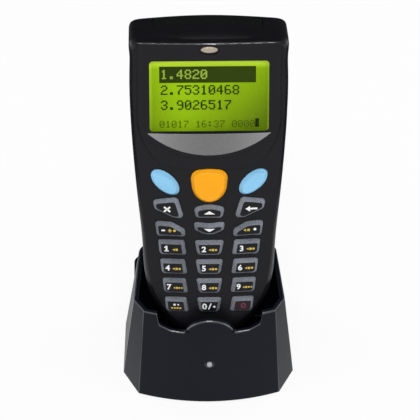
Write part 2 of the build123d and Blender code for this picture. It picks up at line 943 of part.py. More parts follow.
def lip_cut():
    """The scooped front edge: two steps, two dips and an arch in the middle."""
    right = [(lip_half_width, loft_top_z), (lip_half_width, rim_front_z - lip_corner),
             (lip_step_x, lip_step_z), (lip_dip_x, lip_dip_z), (lip_valley_x, lip_valley_z)]
    left = [(-x, z) for x, z in reversed(right)]
    arch = ThreePointArc(right[-1], (0, lip_arch_z), left[0])
    edges = Curve() + [Polyline(*right), arch, Polyline(*left), Line(left[-1], right[0])]
    return slab(make_face(edges), base_corner[1] - tool_reach, rim_facet[1])


def pocket_block(grow):
    """The slot for the terminal, in the terminal's own frame, grown by a wall."""
    floor = bottom_z - seat_gap - grow
    far = grip_depth + back_gap + grow
    return docked * block(-tool_reach, tool_reach, -tool_reach, far, floor, 3 * tool_reach)


def board_posts():
    posts = Part()
    for x, y in (post_front, post_rear):
        for side in (-1, 1):
            posts += post(side * x, y, post_radius, cradle_bottom_z + plate_thickness, loft_top_z)
    return posts


def led_y():
    """The front face's place at the light's height."""
    share = led_z / rim_front_z
    _, cy = blend_pair(base_corner, rim_corner, share)
    return cy - base_bulge - (rim_bulge - base_bulge) * share


def jack_z():
    return cradle_board_z + cradle_board_thickness + jack_height / 2 + board_gap


def port_z():
    return cradle_board_z + cradle_board_thickness + port_height / 2 + board_gap


def contact_block_box(gap):
    half = contact_block_width / 2 + gap
    near = pad_depth - contact_block_depth / 2 - gap
    far = pad_depth + contact_block_depth / 2 + gap
    return half, near, far


def cradle_shell():
    outer = cradle_form(0) + bustle_form(0)
    inner = cradle_form(cradle_wall)
    hollow = (inner + bustle_form(cradle_wall)) - pocket_block(cradle_wall) - board_posts()
    shell = outer - hollow - (inner & pocket_block(0)) - rim_cut() - lip_cut()
    for x, y in (post_front, post_rear):
        for side in (-1, 1):
            top = cradle_bottom_z + plate_thickness + base_screw_length
            shell -= post(side * x, y, base_screw_radius + screw_fit, 0, top)
    face = led_y()
    shell -= rod(0, led_z, led_radius + led_fit, face - wall, face + led_reach)
    shell -= rod(0, led_z, led_ring_radius, face - wall, face + led_ring_depth)
    rear = bustle_rear_y
    shell -= rod(jack_x, jack_z(), jack_collar_radius + port_fit, rear - 2 * cradle_wall, rear + wall)
    half_width, half_height = port_width / 2 + port_fit, port_height / 2 + port_fit
    shell -= block(port_x - half_width, port_x + half_width, rear - 2 * cradle_wall, rear + wall,
                   port_z() - half_height, port_z() + half_height)
    half, near, far = contact_block_box(seat_fit)
    shell -= docked * block(-half, half, near, far, bottom_z - 3 * cradle_wall, bottom_z + wall)
    return shell


def cradle_base():
    clearance = cradle_wall + plate_gap
    plan = offset(cradle_plan(cradle_bottom_z + plate_thickness), -clearance)
    bustle = bustle_form(clearance)
    plate = Pos(0, 0, cradle_bottom_z) * extrude(plan, plate_thickness)
    slice_z = cradle_bottom_z + plate_thickness
    plate += bustle & block(-tool_reach, tool_reach, 0, tool_reach, 0, slice_z)
    for x, y in (foot_front, foot_rear):
        for side in (-1, 1):
            plate -= post(side * x, y, foot_radius + seat_fit, 0, foot_thickness)
    for x, y in (post_front, post_rear):
        for side in (-1, 1):
            plate -= post(side * x, y, base_screw_radius + counterbore_gap / 2, 0, slice_z)
            head_top = cradle_bottom_z + base_screw_head_height
            plate -= post(side * x, y, base_screw_head_radius + counterbore_gap, 0, head_top)
    return plate


def cradle_feet():
    feet = Part()
    for x, y in (foot_front, foot_rear):
        for side in (-1, 1):
            foot = post(side * x, y, foot_radius, 0, foot_thickness)
            feet += chamfer(foot.edges().group_by(Axis.Z)[0], plate_gap)
    return feet


def cradle_screws():
    screws = Part()
    for x, y in (post_front, post_rear):
        for side in (-1, 1):
            seat = cradle_bottom_z + base_screw_head_height
            head = post(side * x, y, base_screw_head_radius, cradle_bottom_z + seat_fit, seat)
            shank = post(side * x, y, base_screw_radius, seat, cradle_bottom_z + base_screw_length)
            top = cradle_bottom_z + recess_depth
            centre = side * x
            for wide, deep in ((recess_reach, recess_half_width), (recess_half_width, recess_reach)):
                head -= block(centre - wide, centre + wide, y - deep, y + deep, 0, top)
            screws += head + shank
    return screws


def cradle_board():
    half = cradle_board_half_width
    board = block(-half, half, cradle_board_front_y, cradle_board_rear_y, cradle_board_z,
                  cradle_board_z + cradle_board_thickness)
    for x, y in (post_front, post_rear):
        for side in (-1, 1):
            board -= post(side * x, y, post_radius + plate_gap, 0, loft_top_z)
    return board


def cradle_led_lens():
    """A light pipe that runs back from the front face and down to the board."""
    face = led_y()
    bend = face + led_reach
    pipe = rod(0, led_z, led_radius, face, bend)
    dome = Pos(0, face, led_z) * Sphere(led_radius)
    shaft = post(0, bend, led_radius, cradle_board_z + cradle_board_thickness + seat_fit, led_z)
    knee = Pos(0, bend, led_z) * Sphere(led_radius)
    cap = dome & block(-led_radius, led_radius, face - led_proud, face, led_z - led_radius, led_z + led_radius)
    return pipe + cap + shaft + knee


def dc_jack():
    rear = bustle_rear_y - cradle_wall - board_gap
    low = cradle_board_z + cradle_board_thickness + seat_fit
    half = jack_width / 2
    body = block(jack_x - half, jack_x + half, rear - jack_depth, rear, low, low + jack_height)
    body += rod(jack_x, jack_z(), jack_collar_radius, rear, bustle_rear_y)
    body -= rod(jack_x, jack_z(), jack_bore_radius, bustle_rear_y - jack_bore_depth, bustle_rear_y)
    tip = bustle_rear_y - cradle_wall
    pin = rod(jack_x, jack_z(), jack_pin_radius, bustle_rear_y - jack_bore_depth, tip)
    return body + pin


def serial_port():
    rear = bustle_rear_y - port_fit
    low = cradle_board_z + cradle_board_thickness + seat_fit
    half = port_width / 2
    body = block(port_x - half, port_x + half, rear - port_depth, rear, low, low + port_height)
    mouth = port_mouth_width / 2
    tall = port_mouth_height / 2
    near = rear - port_mouth_depth
    low = port_z() - tall
    body -= block(port_x - mouth, port_x + mouth, near, rear, low, port_z() + tall)
    body -= block(port_x - mouth / 2, port_x + mouth / 2, near, rear, low - port_latch_height, low)
    return body


def pin_tip_z():
    return bottom_z - pin_gap


def spring_seat_z():
    return collar_z() - pin_collar_length - pin_travel - spring_squeezed_length


def collar_z():
    return pin_tip_z() - pin_stem_length


def contact_block():
    """The insulating block in the slot's floor, with a stepped bore for each pin."""
    half, near, far = contact_block_box(0)
    top = bottom_z - seat_gap - seat_fit
    low = top - contact_block_length
    body = block(-half, half, near, far, low, top)
    flange_top = bottom_z - seat_gap - cradle_wall - seat_fit
    flange = block(-half - contact_block_flange, half + contact_block_flange, near, far,
                   flange_top - contact_flange_thickness, flange_top)
    body += flange
    for side in (-1, 1):
        x = side * pad_offset
        body -= post(x, pad_depth, pin_radius + pin_fit, spring_seat_z(), top)
        body -= post(x, pad_depth, pin_collar_radius + pin_fit, spring_seat_z(), collar_z() + pin_gap)
    return docked * body


def contact_pin(side):
    x = side * pad_offset
    stem = post(x, pad_depth, pin_radius, collar_z(), pin_tip_z())
    collar = post(x, pad_depth, pin_collar_radius, collar_z() - pin_collar_length, collar_z())
    round_tip = fillet((stem + collar).edges().sort_by(Axis.Z)[-1], pin_radius / 2)
    return docked * round_tip


def contact_spring(side):
    x = side * pad_offset
    low = spring_seat_z() + spring_wire
    high = collar_z() - pin_collar_length - spring_wire - seat_fit
    radius = pin_collar_radius - 1.5 * spring_wire
    coil = Helix((high - low) / spring_turns, high - low, radius)
    section = Plane(origin=coil @ 0, z_dir=coil % 0) * Circle(spring_wire)
    return docked * (Pos(x, pad_depth, low) * sweep(section, path=coil))


# ---------------------------------------------------------------- assembly
def terminal_parts():
    keys = all_keys()
    parts = {
        "front_housing": front_housing(keys),
        "rear_housing": rear_housing(),
        "housing_seal": seal_ring(seal_inset, seal_width, seal_height),
        "housing_screws": housing_screws(),
        "display_window": display_window(),
        "display_panel": display_panel(),
        "display_holder": display_holder(),
        "crescent_trim": crescent_trim(),
        "status_light": status_light(),
        "scan_window": scan_window(),
        "scan_engine": scan_engine(),
        "scan_lens": scan_lens(),
        "main_board": main_board(),
        "board_chips": board_chips(),
        "buzzer": buzzer(),
        "backup_cell": backup_cell(),
        "keypad_mat": keypad_mat([centre for _, _, centre in keys]),
        "battery_cells": battery_cells(),
        "battery_contacts": battery_contacts(),
        "battery_cover": battery_cover(),
        "contact_pads": contact_pads(),
    }
    for name, outline, centre in keys:
        parts[name] = key_solid(outline, centre)
    return {name: docked * shape for name, shape in parts.items()}


def cradle_parts():
    return {
        "cradle_shell": cradle_shell(),
        "cradle_base": cradle_base(),
        "cradle_feet": cradle_feet(),
        "cradle_screws": cradle_screws(),
        "cradle_board": cradle_board(),
        "cradle_led_lens": cradle_led_lens(),
        "dc_jack": dc_jack(),
        "serial_port": serial_port(),
        "contact_block": contact_block(),
        "contact_pin_left": contact_pin(-1),
        "contact_pin_right": contact_pin(1),
        "contact_spring_left": contact_spring(-1),
        "contact_spring_right": contact_spring(1),
    }


for part_name, part_shape in {**terminal_parts(), **cradle_parts()}.items():
    export_step(part_shape, f"parts/{part_name}.step")
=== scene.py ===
"""Looks for a hand-held data terminal that stands in its desk cradle.

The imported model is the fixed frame. Its nodes are carried over as smooth, edged copies with moulded,
printed and metal finishes. The display picture, the printing on the keys and the dome of the cradle's
light are added. Lengths in the dataclasses are in millimetres, but the studio's floor, cards and lamps
are in metres, as meshes are.
"""

import json
import logging
import math
from collections.abc import Iterable
from dataclasses import dataclass, field
from enum import Enum, IntEnum

import bmesh
import bpy
from mathutils import Matrix, Vector


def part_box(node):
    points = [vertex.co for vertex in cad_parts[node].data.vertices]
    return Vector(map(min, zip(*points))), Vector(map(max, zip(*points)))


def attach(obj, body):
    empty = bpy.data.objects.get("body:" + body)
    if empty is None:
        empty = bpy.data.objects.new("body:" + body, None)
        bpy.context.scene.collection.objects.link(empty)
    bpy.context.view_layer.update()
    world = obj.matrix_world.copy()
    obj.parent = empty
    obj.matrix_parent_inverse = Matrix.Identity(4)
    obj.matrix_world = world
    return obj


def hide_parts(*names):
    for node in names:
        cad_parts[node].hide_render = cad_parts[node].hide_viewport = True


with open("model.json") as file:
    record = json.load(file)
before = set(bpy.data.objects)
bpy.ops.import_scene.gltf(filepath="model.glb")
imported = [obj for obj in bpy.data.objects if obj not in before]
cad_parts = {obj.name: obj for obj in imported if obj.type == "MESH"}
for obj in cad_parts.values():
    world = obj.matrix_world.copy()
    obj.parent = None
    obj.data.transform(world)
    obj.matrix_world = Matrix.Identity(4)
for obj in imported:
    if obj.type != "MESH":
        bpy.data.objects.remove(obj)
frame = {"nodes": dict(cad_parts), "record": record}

LOG = logging.getLogger("terminal")
MM = 0.001
Colour = tuple[float, float, float]
Rgba = tuple[float, float, float, float]
Place = tuple[float, float, float]
Block = tuple[float, float, float, float]

SEAT = Vector((0.0, -29.92, 22.0)) * MM
LEAN = math.radians(18.0)
DOCK = Matrix.Translation(SEAT) @ Matrix.Rotation(-LEAN, 4, "X")
UNDOCK = DOCK.inverted()
MERGE = 2e-6
EDGE_SEGMENTS = 2
OCTAVES = 2.0
RICH_OCTAVES = 3.0

RECORD = frame["record"]
BODY_OF = {node: body for body, nodes in RECORD["behaviour"]["bodies"].items() for node in nodes}


def scaled(colour: Colour, factor: float) -> Colour:
    """Make a colour darker or paler, with no part over one."""
    return tuple(min(part * factor, 1.0) for part in colour)


# ------------------------------------------------------------------ shader expressions
class Wire:
    """A node output that adds Math nodes when it stands in an expression."""

    def __init__(self, graph: "Graph", socket: bpy.types.NodeSocket) -> None:
        """Keep the socket and the graph that it belongs to."""
        self.graph = graph
        self.socket = socket

    def math(self, operation: str, *values: "Wire | float") -> "Wire":
        """Add one Math node with its inputs in order, and give its output."""
        return self.graph.node("ShaderNodeMath", {"operation": operation}, dict(enumerate(values)))

    def __add__(self, other: "Wire | float") -> "Wire":
        """Sum."""
        return self.math("ADD", self, other)

    def __radd__(self, other: float) -> "Wire":
        """Sum, reflected."""
        return self.math("ADD", other, self)

    def __sub__(self, other: "Wire | float") -> "Wire":
        """Difference."""
        return self.math("SUBTRACT", self, other)

    def __rsub__(self, other: float) -> "Wire":
        """Difference, reflected."""
        return self.math("SUBTRACT", other, self)

    def __mul__(self, other: "Wire | float") -> "Wire":
        """Product."""
        return self.math("MULTIPLY", self, other)

    def __rmul__(self, other: float) -> "Wire":
        """Product, reflected."""
        return self.math("MULTIPLY", other, self)

    def __truediv__(self, other: "Wire | float") -> "Wire":
        """Quotient."""
        return self.math("DIVIDE", self, other)

    def __pow__(self, other: float) -> "Wire":
        """Power."""
        return self.math("POWER", self, other)

    def over(self, edge: float) -> "Wire":
        """One where the value is greater than an edge, else nought."""
        return self.math("GREATER_THAN", self, edge)

    def size(self) -> "Wire":
        """The value without its sign."""
        return self.math("ABSOLUTE", self)

    def held(self) -> "Wire":
        """The value kept between nought and one."""
        return self.math("MINIMUM", self.math("MAXIMUM", self, 0.0), 1.0)

    def about(self, middle: float, change: float) -> "Wire":
        """A noise made to swing by a change about a middle value, kept between nought and one."""
        return (middle + (self - 0.5) * change).held()


class Graph:
    """The node tree of one material, or of the world.

    `mix_ends` and `mix_result` are the numbers of a Mix node's colour sockets.
    """

    mix_ends = (6, 7)
    mix_result = 2

    def __init__(self, owner: bpy.types.Material | bpy.types.World) -> None:
        """Start with an empty tree.

        Args:
            owner: The material or world that the tree belongs to.
        """
        self.owner = owner
        owner.use_nodes = True
        self.tree = owner.node_tree
        self.tree.nodes.clear()

    @classmethod
    def named(cls, name: str) -> "Graph":
        """Start a material of the given name."""
        return cls(bpy.data.materials.new(name))

    def add(self, kind: str, settings: dict | None = None, values: dict | None = None) -> bpy.types.Node:
        """Add a node.

        Args:
            kind: The node's type.
            settings: Its properties, which are set first.
            values: Values or wires by input name or number.

        Returns:
            The node.
        """
        made = self.tree.nodes.new(kind)
        for name, value in (settings or {}).items():
            setattr(made, name, value)
        for key, value in (values or {}).items():
            if isinstance(value, Wire):
                self.tree.links.new(value.socket, made.inputs[key])
            else:
                made.inputs[key].default_value = value
        return made

    def node(self, kind: str, settings: dict | None = None, values: dict | None = None,
             output: int | str = 0) -> Wire:
        """Add a node and give one of its outputs."""
        return Wire(self, self.add(kind, settings, values).outputs[output])

    def place(self) -> Wire:
        """Object coordinates, in metres."""
        return self.node("ShaderNodeTexCoord", output="Object")

    def dock_place(self) -> Wire:
        """Coordinates in the terminal's own frame, in metres."""
        turned = {"Vector": self.place(), "Location": UNDOCK.translation, "Rotation": UNDOCK.to_euler()}
        return self.node("ShaderNodeMapping", values=turned)

    def parts(self, vector: Wire) -> tuple[Wire, ...]:
        """Split a vector into its three numbers."""
        split = self.add("ShaderNodeSeparateXYZ", values={0: vector})
        return tuple(Wire(self, output) for output in split.outputs)

    def noise(self, size_mm: float, detail: float = OCTAVES, seat: Wire | None = None) -> Wire:
        """Add a noise with features of a real size, on Object coordinates unless a seat is given."""
        values = {"Vector": seat or self.place(), "Scale": 1.0 / (size_mm * MM), "Detail": detail}
        return self.node("ShaderNodeTexNoise", values=values)

    def blend(self, factor: Wire | float, low: Wire | Colour, high: Wire | Colour) -> Wire:
        """Mix two colours; the factor is the share of the second."""
        ends = {key: end if isinstance(end, Wire) else (*end, 1.0)
                for key, end in zip(self.mix_ends, (low, high))}
        return self.node("ShaderNodeMix", {"data_type": "RGBA"}, {0: factor, **ends}, self.mix_result)

    def mottled(self, factor: Wire, colour: Colour, spread: float) -> Wire:
        """Vary a colour by a share of it, from darker to paler."""
        return self.blend(factor, scaled(colour, 1.0 - spread), scaled(colour, 1.0 + spread))

    def bump(self, height: Wire, depth_mm: float) -> Wire:
        """Turn a height pattern into a bumped normal; one stands for the depth."""
        return self.node("ShaderNodeBump", values={"Height": height, "Distance": depth_mm * MM})

    def seen(self) -> Wire:
        """Tell the rays that show a background from those that light by it.

        Returns:
            One for camera, glossy and transmission rays, else nought.
        """
        path = self.add("ShaderNodeLightPath").outputs
        rays = [Wire(self, path[f"Is {kind} Ray"]) for kind in ("Camera", "Glossy", "Transmission")]
        return (rays[0] + rays[1] + rays[2]).held()

    def close(self, **values: "Wire | float | tuple") -> bpy.types.Material:
        """End in a principled shader; underscores stand for the spaces in its inputs' names."""
        named = {name.replace("_", " "): value for name, value in values.items()}
        return self.end(self.node("ShaderNodeBsdfPrincipled", values=named))

    def end(self, shader: Wire, kind: str = "ShaderNodeOutputMaterial") -> bpy.types.ID:
        """Join a shader to an output node, and give the material or world."""
        self.add(kind, values={"Surface": shader})
        return self.owner


# ------------------------------------------------------------------ finishes
@dataclass(frozen=True)
class Moulding:
    """Spark-eroded plastic or rubber: fine grain, faint mottling and handling marks."""

    name: str
    colour: Colour
    roughness: float = 0.45
    grain: float = 0.32
    grain_depth: float = 0.016
    mottling: float = 0.18
    speckle: float = 0.0
    specular: float = 0.5
    cloud: float = 14.0
    cloud_contrast: float = 1.6
    smudge: float = 36.0
    smudge_gloss: float = 0.10
    grain_gloss: float = 0.08

    def make(self) -> bpy.types.Material:
        """Build the material.

        Returns:
            The material.
        """
        graph = Graph.named(self.name)
        seat = graph.place()
        fine = graph.noise(self.grain, RICH_OCTAVES, seat)
        broad = graph.noise(self.cloud, seat=seat)
        worn = graph.noise(self.smudge, RICH_OCTAVES, seat)
        share = ((broad - 0.5) * self.cloud_contrast + (fine - 0.5) * self.speckle + 0.5).held()
        roughness = self.roughness + (worn - 0.5) * self.smudge_gloss + (fine - 0.5) * self.grain_gloss
        return graph.close(Base_Color=graph.mottled(share, self.colour, self.mottling),
                           Roughness=roughness.held(), Specular_IOR_Level=self.specular,
                           Normal=graph.bump(fine, self.grain_depth))


@dataclass(frozen=True)
class Metal:
    """Plated or rolled metal with a fine grain and faint dulling.

    `ends` is the share of a colour twice as pale that it has at `end_half` to either side.
    """

    name: str
    colour: Colour
    roughness: float = 0.3
    grain: float = 0.2
    grain_depth: float = 0.006
    metallic: float = 1.0
    speckle: float = 0.3
    ends: float = 0.0
    end_half: float = 22.0
    cloud: float = 6.0
    dulling: float = 0.25

    def make(self) -> bpy.types.Material:
        """Build the material.

        Returns:
            The material.
        """
        graph = Graph.named(self.name)
        seat = graph.place()
        fine = graph.noise(self.grain, seat=seat)
        dull = graph.noise(self.cloud, RICH_OCTAVES, seat)
        aside = graph.parts(seat)[0].size() / (self.end_half * MM)
        grained = graph.mottled(fine, self.colour, self.speckle)
        colour = graph.blend((aside * aside * self.ends).held(), grained, scaled(self.colour, 2.0))
        return graph.close(Base_Color=colour, Metallic=self.metallic,
                           Roughness=dull.about(self.roughness, self.dulling),
                           Normal=graph.bump(fine, self.grain_depth))


@dataclass(frozen=True)
class Clear:
    """A thin clear or tinted pane: what lies behind it shows, and it still shines."""

    name: str
    tint: Colour
    shine: Colour = (0.02, 0.02, 0.02)
    cover: float = 0.1
    roughness: float = 0.06
    edge_cover: float = 0.35
    edge_bend: float = 0.25
    smear: float = 9.0
    smear_dark: float = 0.8
    smear_gloss: float = 0.05

    def make(self) -> bpy.types.Material:
        """Build the material.

        Returns:
            The material.
        """
        graph = Graph.named(self.name)
        smear = graph.noise(self.smear, RICH_OCTAVES)
        gloss = graph.node("ShaderNodeBsdfPrincipled", values={
            "Base Color": graph.blend(smear, scaled(self.shine, self.smear_dark), self.shine),
            "Roughness": smear.about(self.roughness, self.smear_gloss)})
        through = graph.node("ShaderNodeBsdfTransparent", values={"Color": (*self.tint, 1.0)})
        edge = graph.node("ShaderNodeLayerWeight", values={"Blend": self.edge_bend})
        share = (self.cover + edge * self.edge_cover).held()
        return graph.end(graph.node("ShaderNodeMixShader", values={0: share, 1: through, 2: gloss}))


@dataclass(frozen=True)
class Milky:
    """Diffusing plastic in front of a small lamp."""

    name: str
    colour: Colour
    roughness: float = 0.35
    cloud: float = 1.6
    cloud_pale: float = 1.25
    grain: float = 0.25
    grain_depth: float = 0.004
    grain_gloss: float = 0.1
    coat: float = 0.4

    def make(self) -> bpy.types.Material:
        """Build the material.

        Returns:
            The material.
        """
        graph = Graph.named(self.name)
        fine = graph.noise(self.grain)
        colour = graph.blend(graph.noise(self.cloud), self.colour, scaled(self.colour, self.cloud_pale))
        return graph.close(Base_Color=colour, Coat_Weight=self.coat,
                           Roughness=fine.about(self.roughness, self.grain_gloss),
                           Normal=graph.bump(fine, self.grain_depth))


@dataclass(frozen=True)
class ReflectiveDisplay:
    """Yellow-green film behind a twisted-nematic display, under painted light from its upper left.

    Its colour glows a little, as painted light. It darkens downwards and away from its brightest place, as
    painted shade, and each edge has a pale rim, as a painted highlight.
    """

    name: str
    middle: Colour = (0.305, 0.515, 0.002)
    bright: Colour = (0.650, 0.900, 0.055)
    painted_shade: Colour = (0.095, 0.160, 0.001)
    half_width: float = 21.1
    top: float = 110.3
    bottom: float = 84.4
    brightest: float = -9.0
    glow: float = 0.30
    down_shade: float = 0.40
    side_shade: float = 0.012
    corner_shade: float = 0.016
    top_reach: float = 2.2
    left_reach: float = 1.3
    left_rim: float = 0.8
    left_fade: float = 0.6
    other_reach: float = 0.7
    right_rim: float = 0.35
    bottom_rim: float = 0.3
    rim_power: float = 1.5
    film: float = 0.35
    film_share: float = 0.2
    film_base: float = 0.03
    film_gloss: float = 0.1
    roughness: float = 0.45
    specular: float = 0.1

    def make(self) -> bpy.types.Material:
        """Build the material.

        Returns:
            The material.
        """
        graph = Graph.named(self.name)
        x, _, z = graph.parts(graph.dock_place())
        across = x / MM
        height = z / MM
        from_top = self.top - height
        down = (from_top / (self.top - self.bottom)).held()
        aside = (across - self.brightest).size()
        # Painted shade: darker downwards and away from the brightest place.
        shade = (down * (aside * self.corner_shade + self.down_shade) + aside * self.side_shade).held()
        left = self._painted_rim(across + self.half_width, self.left_reach)
        left = left * (self.left_rim - down * self.left_fade)
        right = self._painted_rim(self.half_width - across, self.other_reach) * self.right_rim
        lower = self._painted_rim(height - self.bottom, self.other_reach) * self.bottom_rim
        edge = self._painted_rim(from_top, self.top_reach) + left + right + lower
        film = graph.noise(self.film) - 0.5
        body = graph.blend(shade, self.middle, self.painted_shade)
        body = graph.blend(film * self.film_share + self.film_base, body, self.bright)
        colour = graph.blend(edge.held(), body, self.bright)
        # The emission gives the film a faint glow of painted light.
        return graph.close(Base_Color=colour, Emission_Color=colour, Emission_Strength=self.glow,
                           Specular_IOR_Level=self.specular,
                           Roughness=self.roughness + film * self.film_gloss)

    def _painted_rim(self, distance: Wire, reach: float) -> Wire:
        """A painted highlight band that fades from one at an edge to nought at its reach."""
        return (1.0 - distance / reach).held() ** self.rim_power


@dataclass(frozen=True)
class Laminate:
    """Green circuit board with copper runs and pads under its lacquer."""

    name: str
    board: Colour = (0.008, 0.075, 0.028)
    run: Colour = (0.020, 0.165, 0.050)
    pitch: float = 2.4
    run_width: float = 0.10
    run_soft: float = 0.1
    pad_fade: float = 3.0
    relief: float = 0.03
    roughness: float = 0.28
    grain: float = 0.5
    grain_gloss: float = 0.15
    lacquer: float = 0.3

    def make(self) -> bpy.types.Material:
        """Build the material.

        Returns:
            The material.
        """
        graph = Graph.named(self.name)
        seat = graph.place()
        size = {"Vector": seat, "Scale": 1.0 / (self.pitch * MM)}
        bare = (0.0, 0.0, 0.0, 1.0)
        runs = graph.node("ShaderNodeTexBrick", values={
            **size, "Mortar Size": self.run_width, "Mortar Smooth": self.run_soft,
            "Color1": bare, "Color2": bare, "Mortar": (1.0, 1.0, 1.0, 1.0)}, output="Fac")
        pads = graph.node("ShaderNodeTexVoronoi", values=size, output="Distance")
        copper = (runs + (1.0 - pads * self.pad_fade).held()).held()
        fine = graph.noise(self.grain, seat=seat)
        return graph.close(Base_Color=graph.blend(copper, self.board, self.run), Coat_Weight=self.lacquer,
                           Roughness=fine.about(self.roughness, self.grain_gloss),
                           Normal=graph.bump(copper, self.relief))


@dataclass(frozen=True)
class Wrapped:
    """Plain two-coloured shrink sleeve of a dry cell, with its bare metal cap."""

    name: str
    sleeve: Colour = (0.020, 0.022, 0.026)
    band: Colour = (0.55, 0.30, 0.05)
    cap: Colour = (0.55, 0.55, 0.56)
    band_above: float = 68.0
    cap_above: float = 78.6
    cap_metal: float = 0.9
    roughness: float = 0.32
    grain: float = 0.6
    grain_depth: float = 0.004
    grain_gloss: float = 0.1

    def make(self) -> bpy.types.Material:
        """Build the material.

        Returns:
            The material.
        """
        graph = Graph.named(self.name)
        height = graph.parts(graph.dock_place())[2] / MM
        capped = height.over(self.cap_above)
        fine = graph.noise(self.grain)
        sleeve = graph.blend(height.over(self.band_above), self.sleeve, self.band)
        colour = graph.blend(capped, sleeve, self.cap)
        return graph.close(Base_Color=colour, Metallic=capped * self.cap_metal,
                           Roughness=fine.about(self.roughness, self.grain_gloss),
                           Normal=graph.bump(fine, self.grain_depth))


Finish = Moulding | Metal | Clear | Milky | ReflectiveDisplay | Laminate | Wrapped


class Finishes:
    """Every finish of the object, each built once.

    A moulding's numbers are its roughness, grain, depth of grain and mottling.
    """

    case = Moulding("case_black", (0.0050, 0.0050, 0.0068), 0.40, 0.30, 0.014, 0.20, specular=0.20)
    # Paler than the case, as a painted highlight, and glossier, for rounded edges.
    case_highlight = Moulding("case_painted_highlight", (0.0120, 0.0120, 0.0150), 0.27, 0.30, 0.004, 0.10, specular=0.8)
    cradle = Moulding("cradle_black", (0.0022, 0.0032, 0.0078), 0.42, 0.34, 0.018, 0.16, specular=0.14)
    # Paler than the cradle, as a painted highlight, and glossier, for rounded edges.
    cradle_highlight = Moulding("cradle_painted_highlight", (0.0150, 0.0155, 0.0210), 0.23, 0.34, 0.004, 0.10,
                           specular=0.8)
    key_side = Moulding("key_grey_silicone", (0.180, 0.195, 0.225), 0.60, 0.34, 0.024, 0.45, speckle=2.6,
                        specular=0.3)
    key_top = Moulding("key_black_lacquer", (0.0055, 0.0055, 0.0070), 0.34, 0.25, 0.004, 0.25,
                       specular=0.2)
    key_power = Moulding("key_maroon_lacquer", (0.020, 0.007, 0.012), 0.36, 0.25, 0.004, 0.25,
                         specular=0.2)
    orange = Moulding("key_orange_silicone", (0.960, 0.385, 0.003), 0.42, 0.34, 0.008, 0.07, speckle=1.0,
                      specular=0.3)
    blue = Moulding("key_blue_silicone", (0.245, 0.535, 0.780), 0.46, 0.34, 0.010, 0.14, speckle=1.6,
                    specular=0.3)
    white_ink = Moulding("white_ink", (0.86, 0.86, 0.84), 0.5, 0.2, 0.003, 0.05)
    yellow_ink = Moulding("yellow_ink", (0.62, 0.44, 0.07), 0.5, 0.2, 0.003, 0.10)
    red_ink = Moulding("red_ink", (0.135, 0.024, 0.045), 0.5, 0.2, 0.003, 0.10)
    dark_dot = Moulding("display_dot", (0.012, 0.030, 0.002), 0.5, 0.2, 0.002, 0.10, specular=0.1)
    faint_dot = Moulding("display_dot_faint", (0.070, 0.120, 0.004), 0.5, 0.2, 0.002, 0.10, specular=0.1)
    light_dot = Moulding("display_dot_light", (0.40, 0.56, 0.07), 0.5, 0.2, 0.002, 0.10, specular=0.1)
    bar = Moulding("display_bar", (0.030, 0.052, 0.002), 0.5, 0.4, 0.002, 0.12, specular=0.1)
    holder = Moulding("holder_white", (0.72, 0.72, 0.70), 0.5)
    engine = Moulding("engine_black", (0.02, 0.02, 0.02), 0.5)
    chip = Moulding("chip_black", (0.018, 0.018, 0.020), 0.55, 0.12, 0.01)
    mat = Moulding("mat_grey", (0.19, 0.20, 0.21), 0.65)
    seal = Moulding("seal_rubber", (0.03, 0.03, 0.03), 0.7)
    foot = Moulding("foot_rubber", (0.020, 0.020, 0.021), 0.75, 0.5, 0.03)
    socket = Moulding("socket_black", (0.012, 0.012, 0.013), 0.38)
    silver = Metal("trim_silver", (0.165, 0.163, 0.166), 0.42, 0.34, metallic=0.55, speckle=0.42, ends=0.75)
    steel = Metal("bright_steel", (0.58, 0.58, 0.57), 0.28)
    black_screw = Metal("blackened_steel", (0.05, 0.05, 0.055), 0.35)
    gold = Metal("contact_gold", (0.80, 0.58, 0.22), 0.22, speckle=0.1)
    window = Clear("window_clear", (0.97, 0.98, 0.96), cover=0.0, edge_cover=0.12)
    pane = Clear("scan_pane", (0.05, 0.055, 0.05), (0.018, 0.020, 0.019), cover=0.55, roughness=0.12)
    lens = Clear("lens_glass", (0.55, 0.6, 0.75), cover=0.25)
    light = Milky("light_lens", (0.335, 0.280, 0.215))
    led = Milky("led_clear", (0.34, 0.35, 0.38), 0.10)
    screen = ReflectiveDisplay("display_green")
    board = Laminate("board_green")
    cell = Wrapped("cell_sleeve")

    def __init__(self) -> None:
        """Start with nothing built."""
        self.made: dict[str, bpy.types.Material] = {}

    def get(self, finish: Finish) -> bpy.types.Material:
        """Give a finish's material, built at its first use.

        Args:
            finish: The finish.

        Returns:
            Its material.
        """
        if finish.name not in self.made:
            self.made[finish.name] = finish.make()
        return self.made[finish.name]


SHELF = Finishes()


# ------------------------------------------------------------------ pieces
def as_mesh(shape: bmesh.types.BMesh, name: str) -> bpy.types.Mesh:
    """Turn a bmesh into a mesh.

    Args:
        shape: The bmesh; it is freed.
        name: The mesh's name.

    Returns:
        The mesh.
    """
    mesh = bpy.data.meshes.new(name)
    shape.to_mesh(mesh)
    shape.free()
    return mesh


def set_out(name: str, data: bpy.types.ID) -> bpy.types.Object:
    """Set out an object in the scene.

    Args:
        name: The object's name.
        data: Its mesh, curve, lamp or camera.

    Returns:
        The object.
    """
    made = bpy.data.objects.new(name, data)
    bpy.context.collection.objects.link(made)
    return made


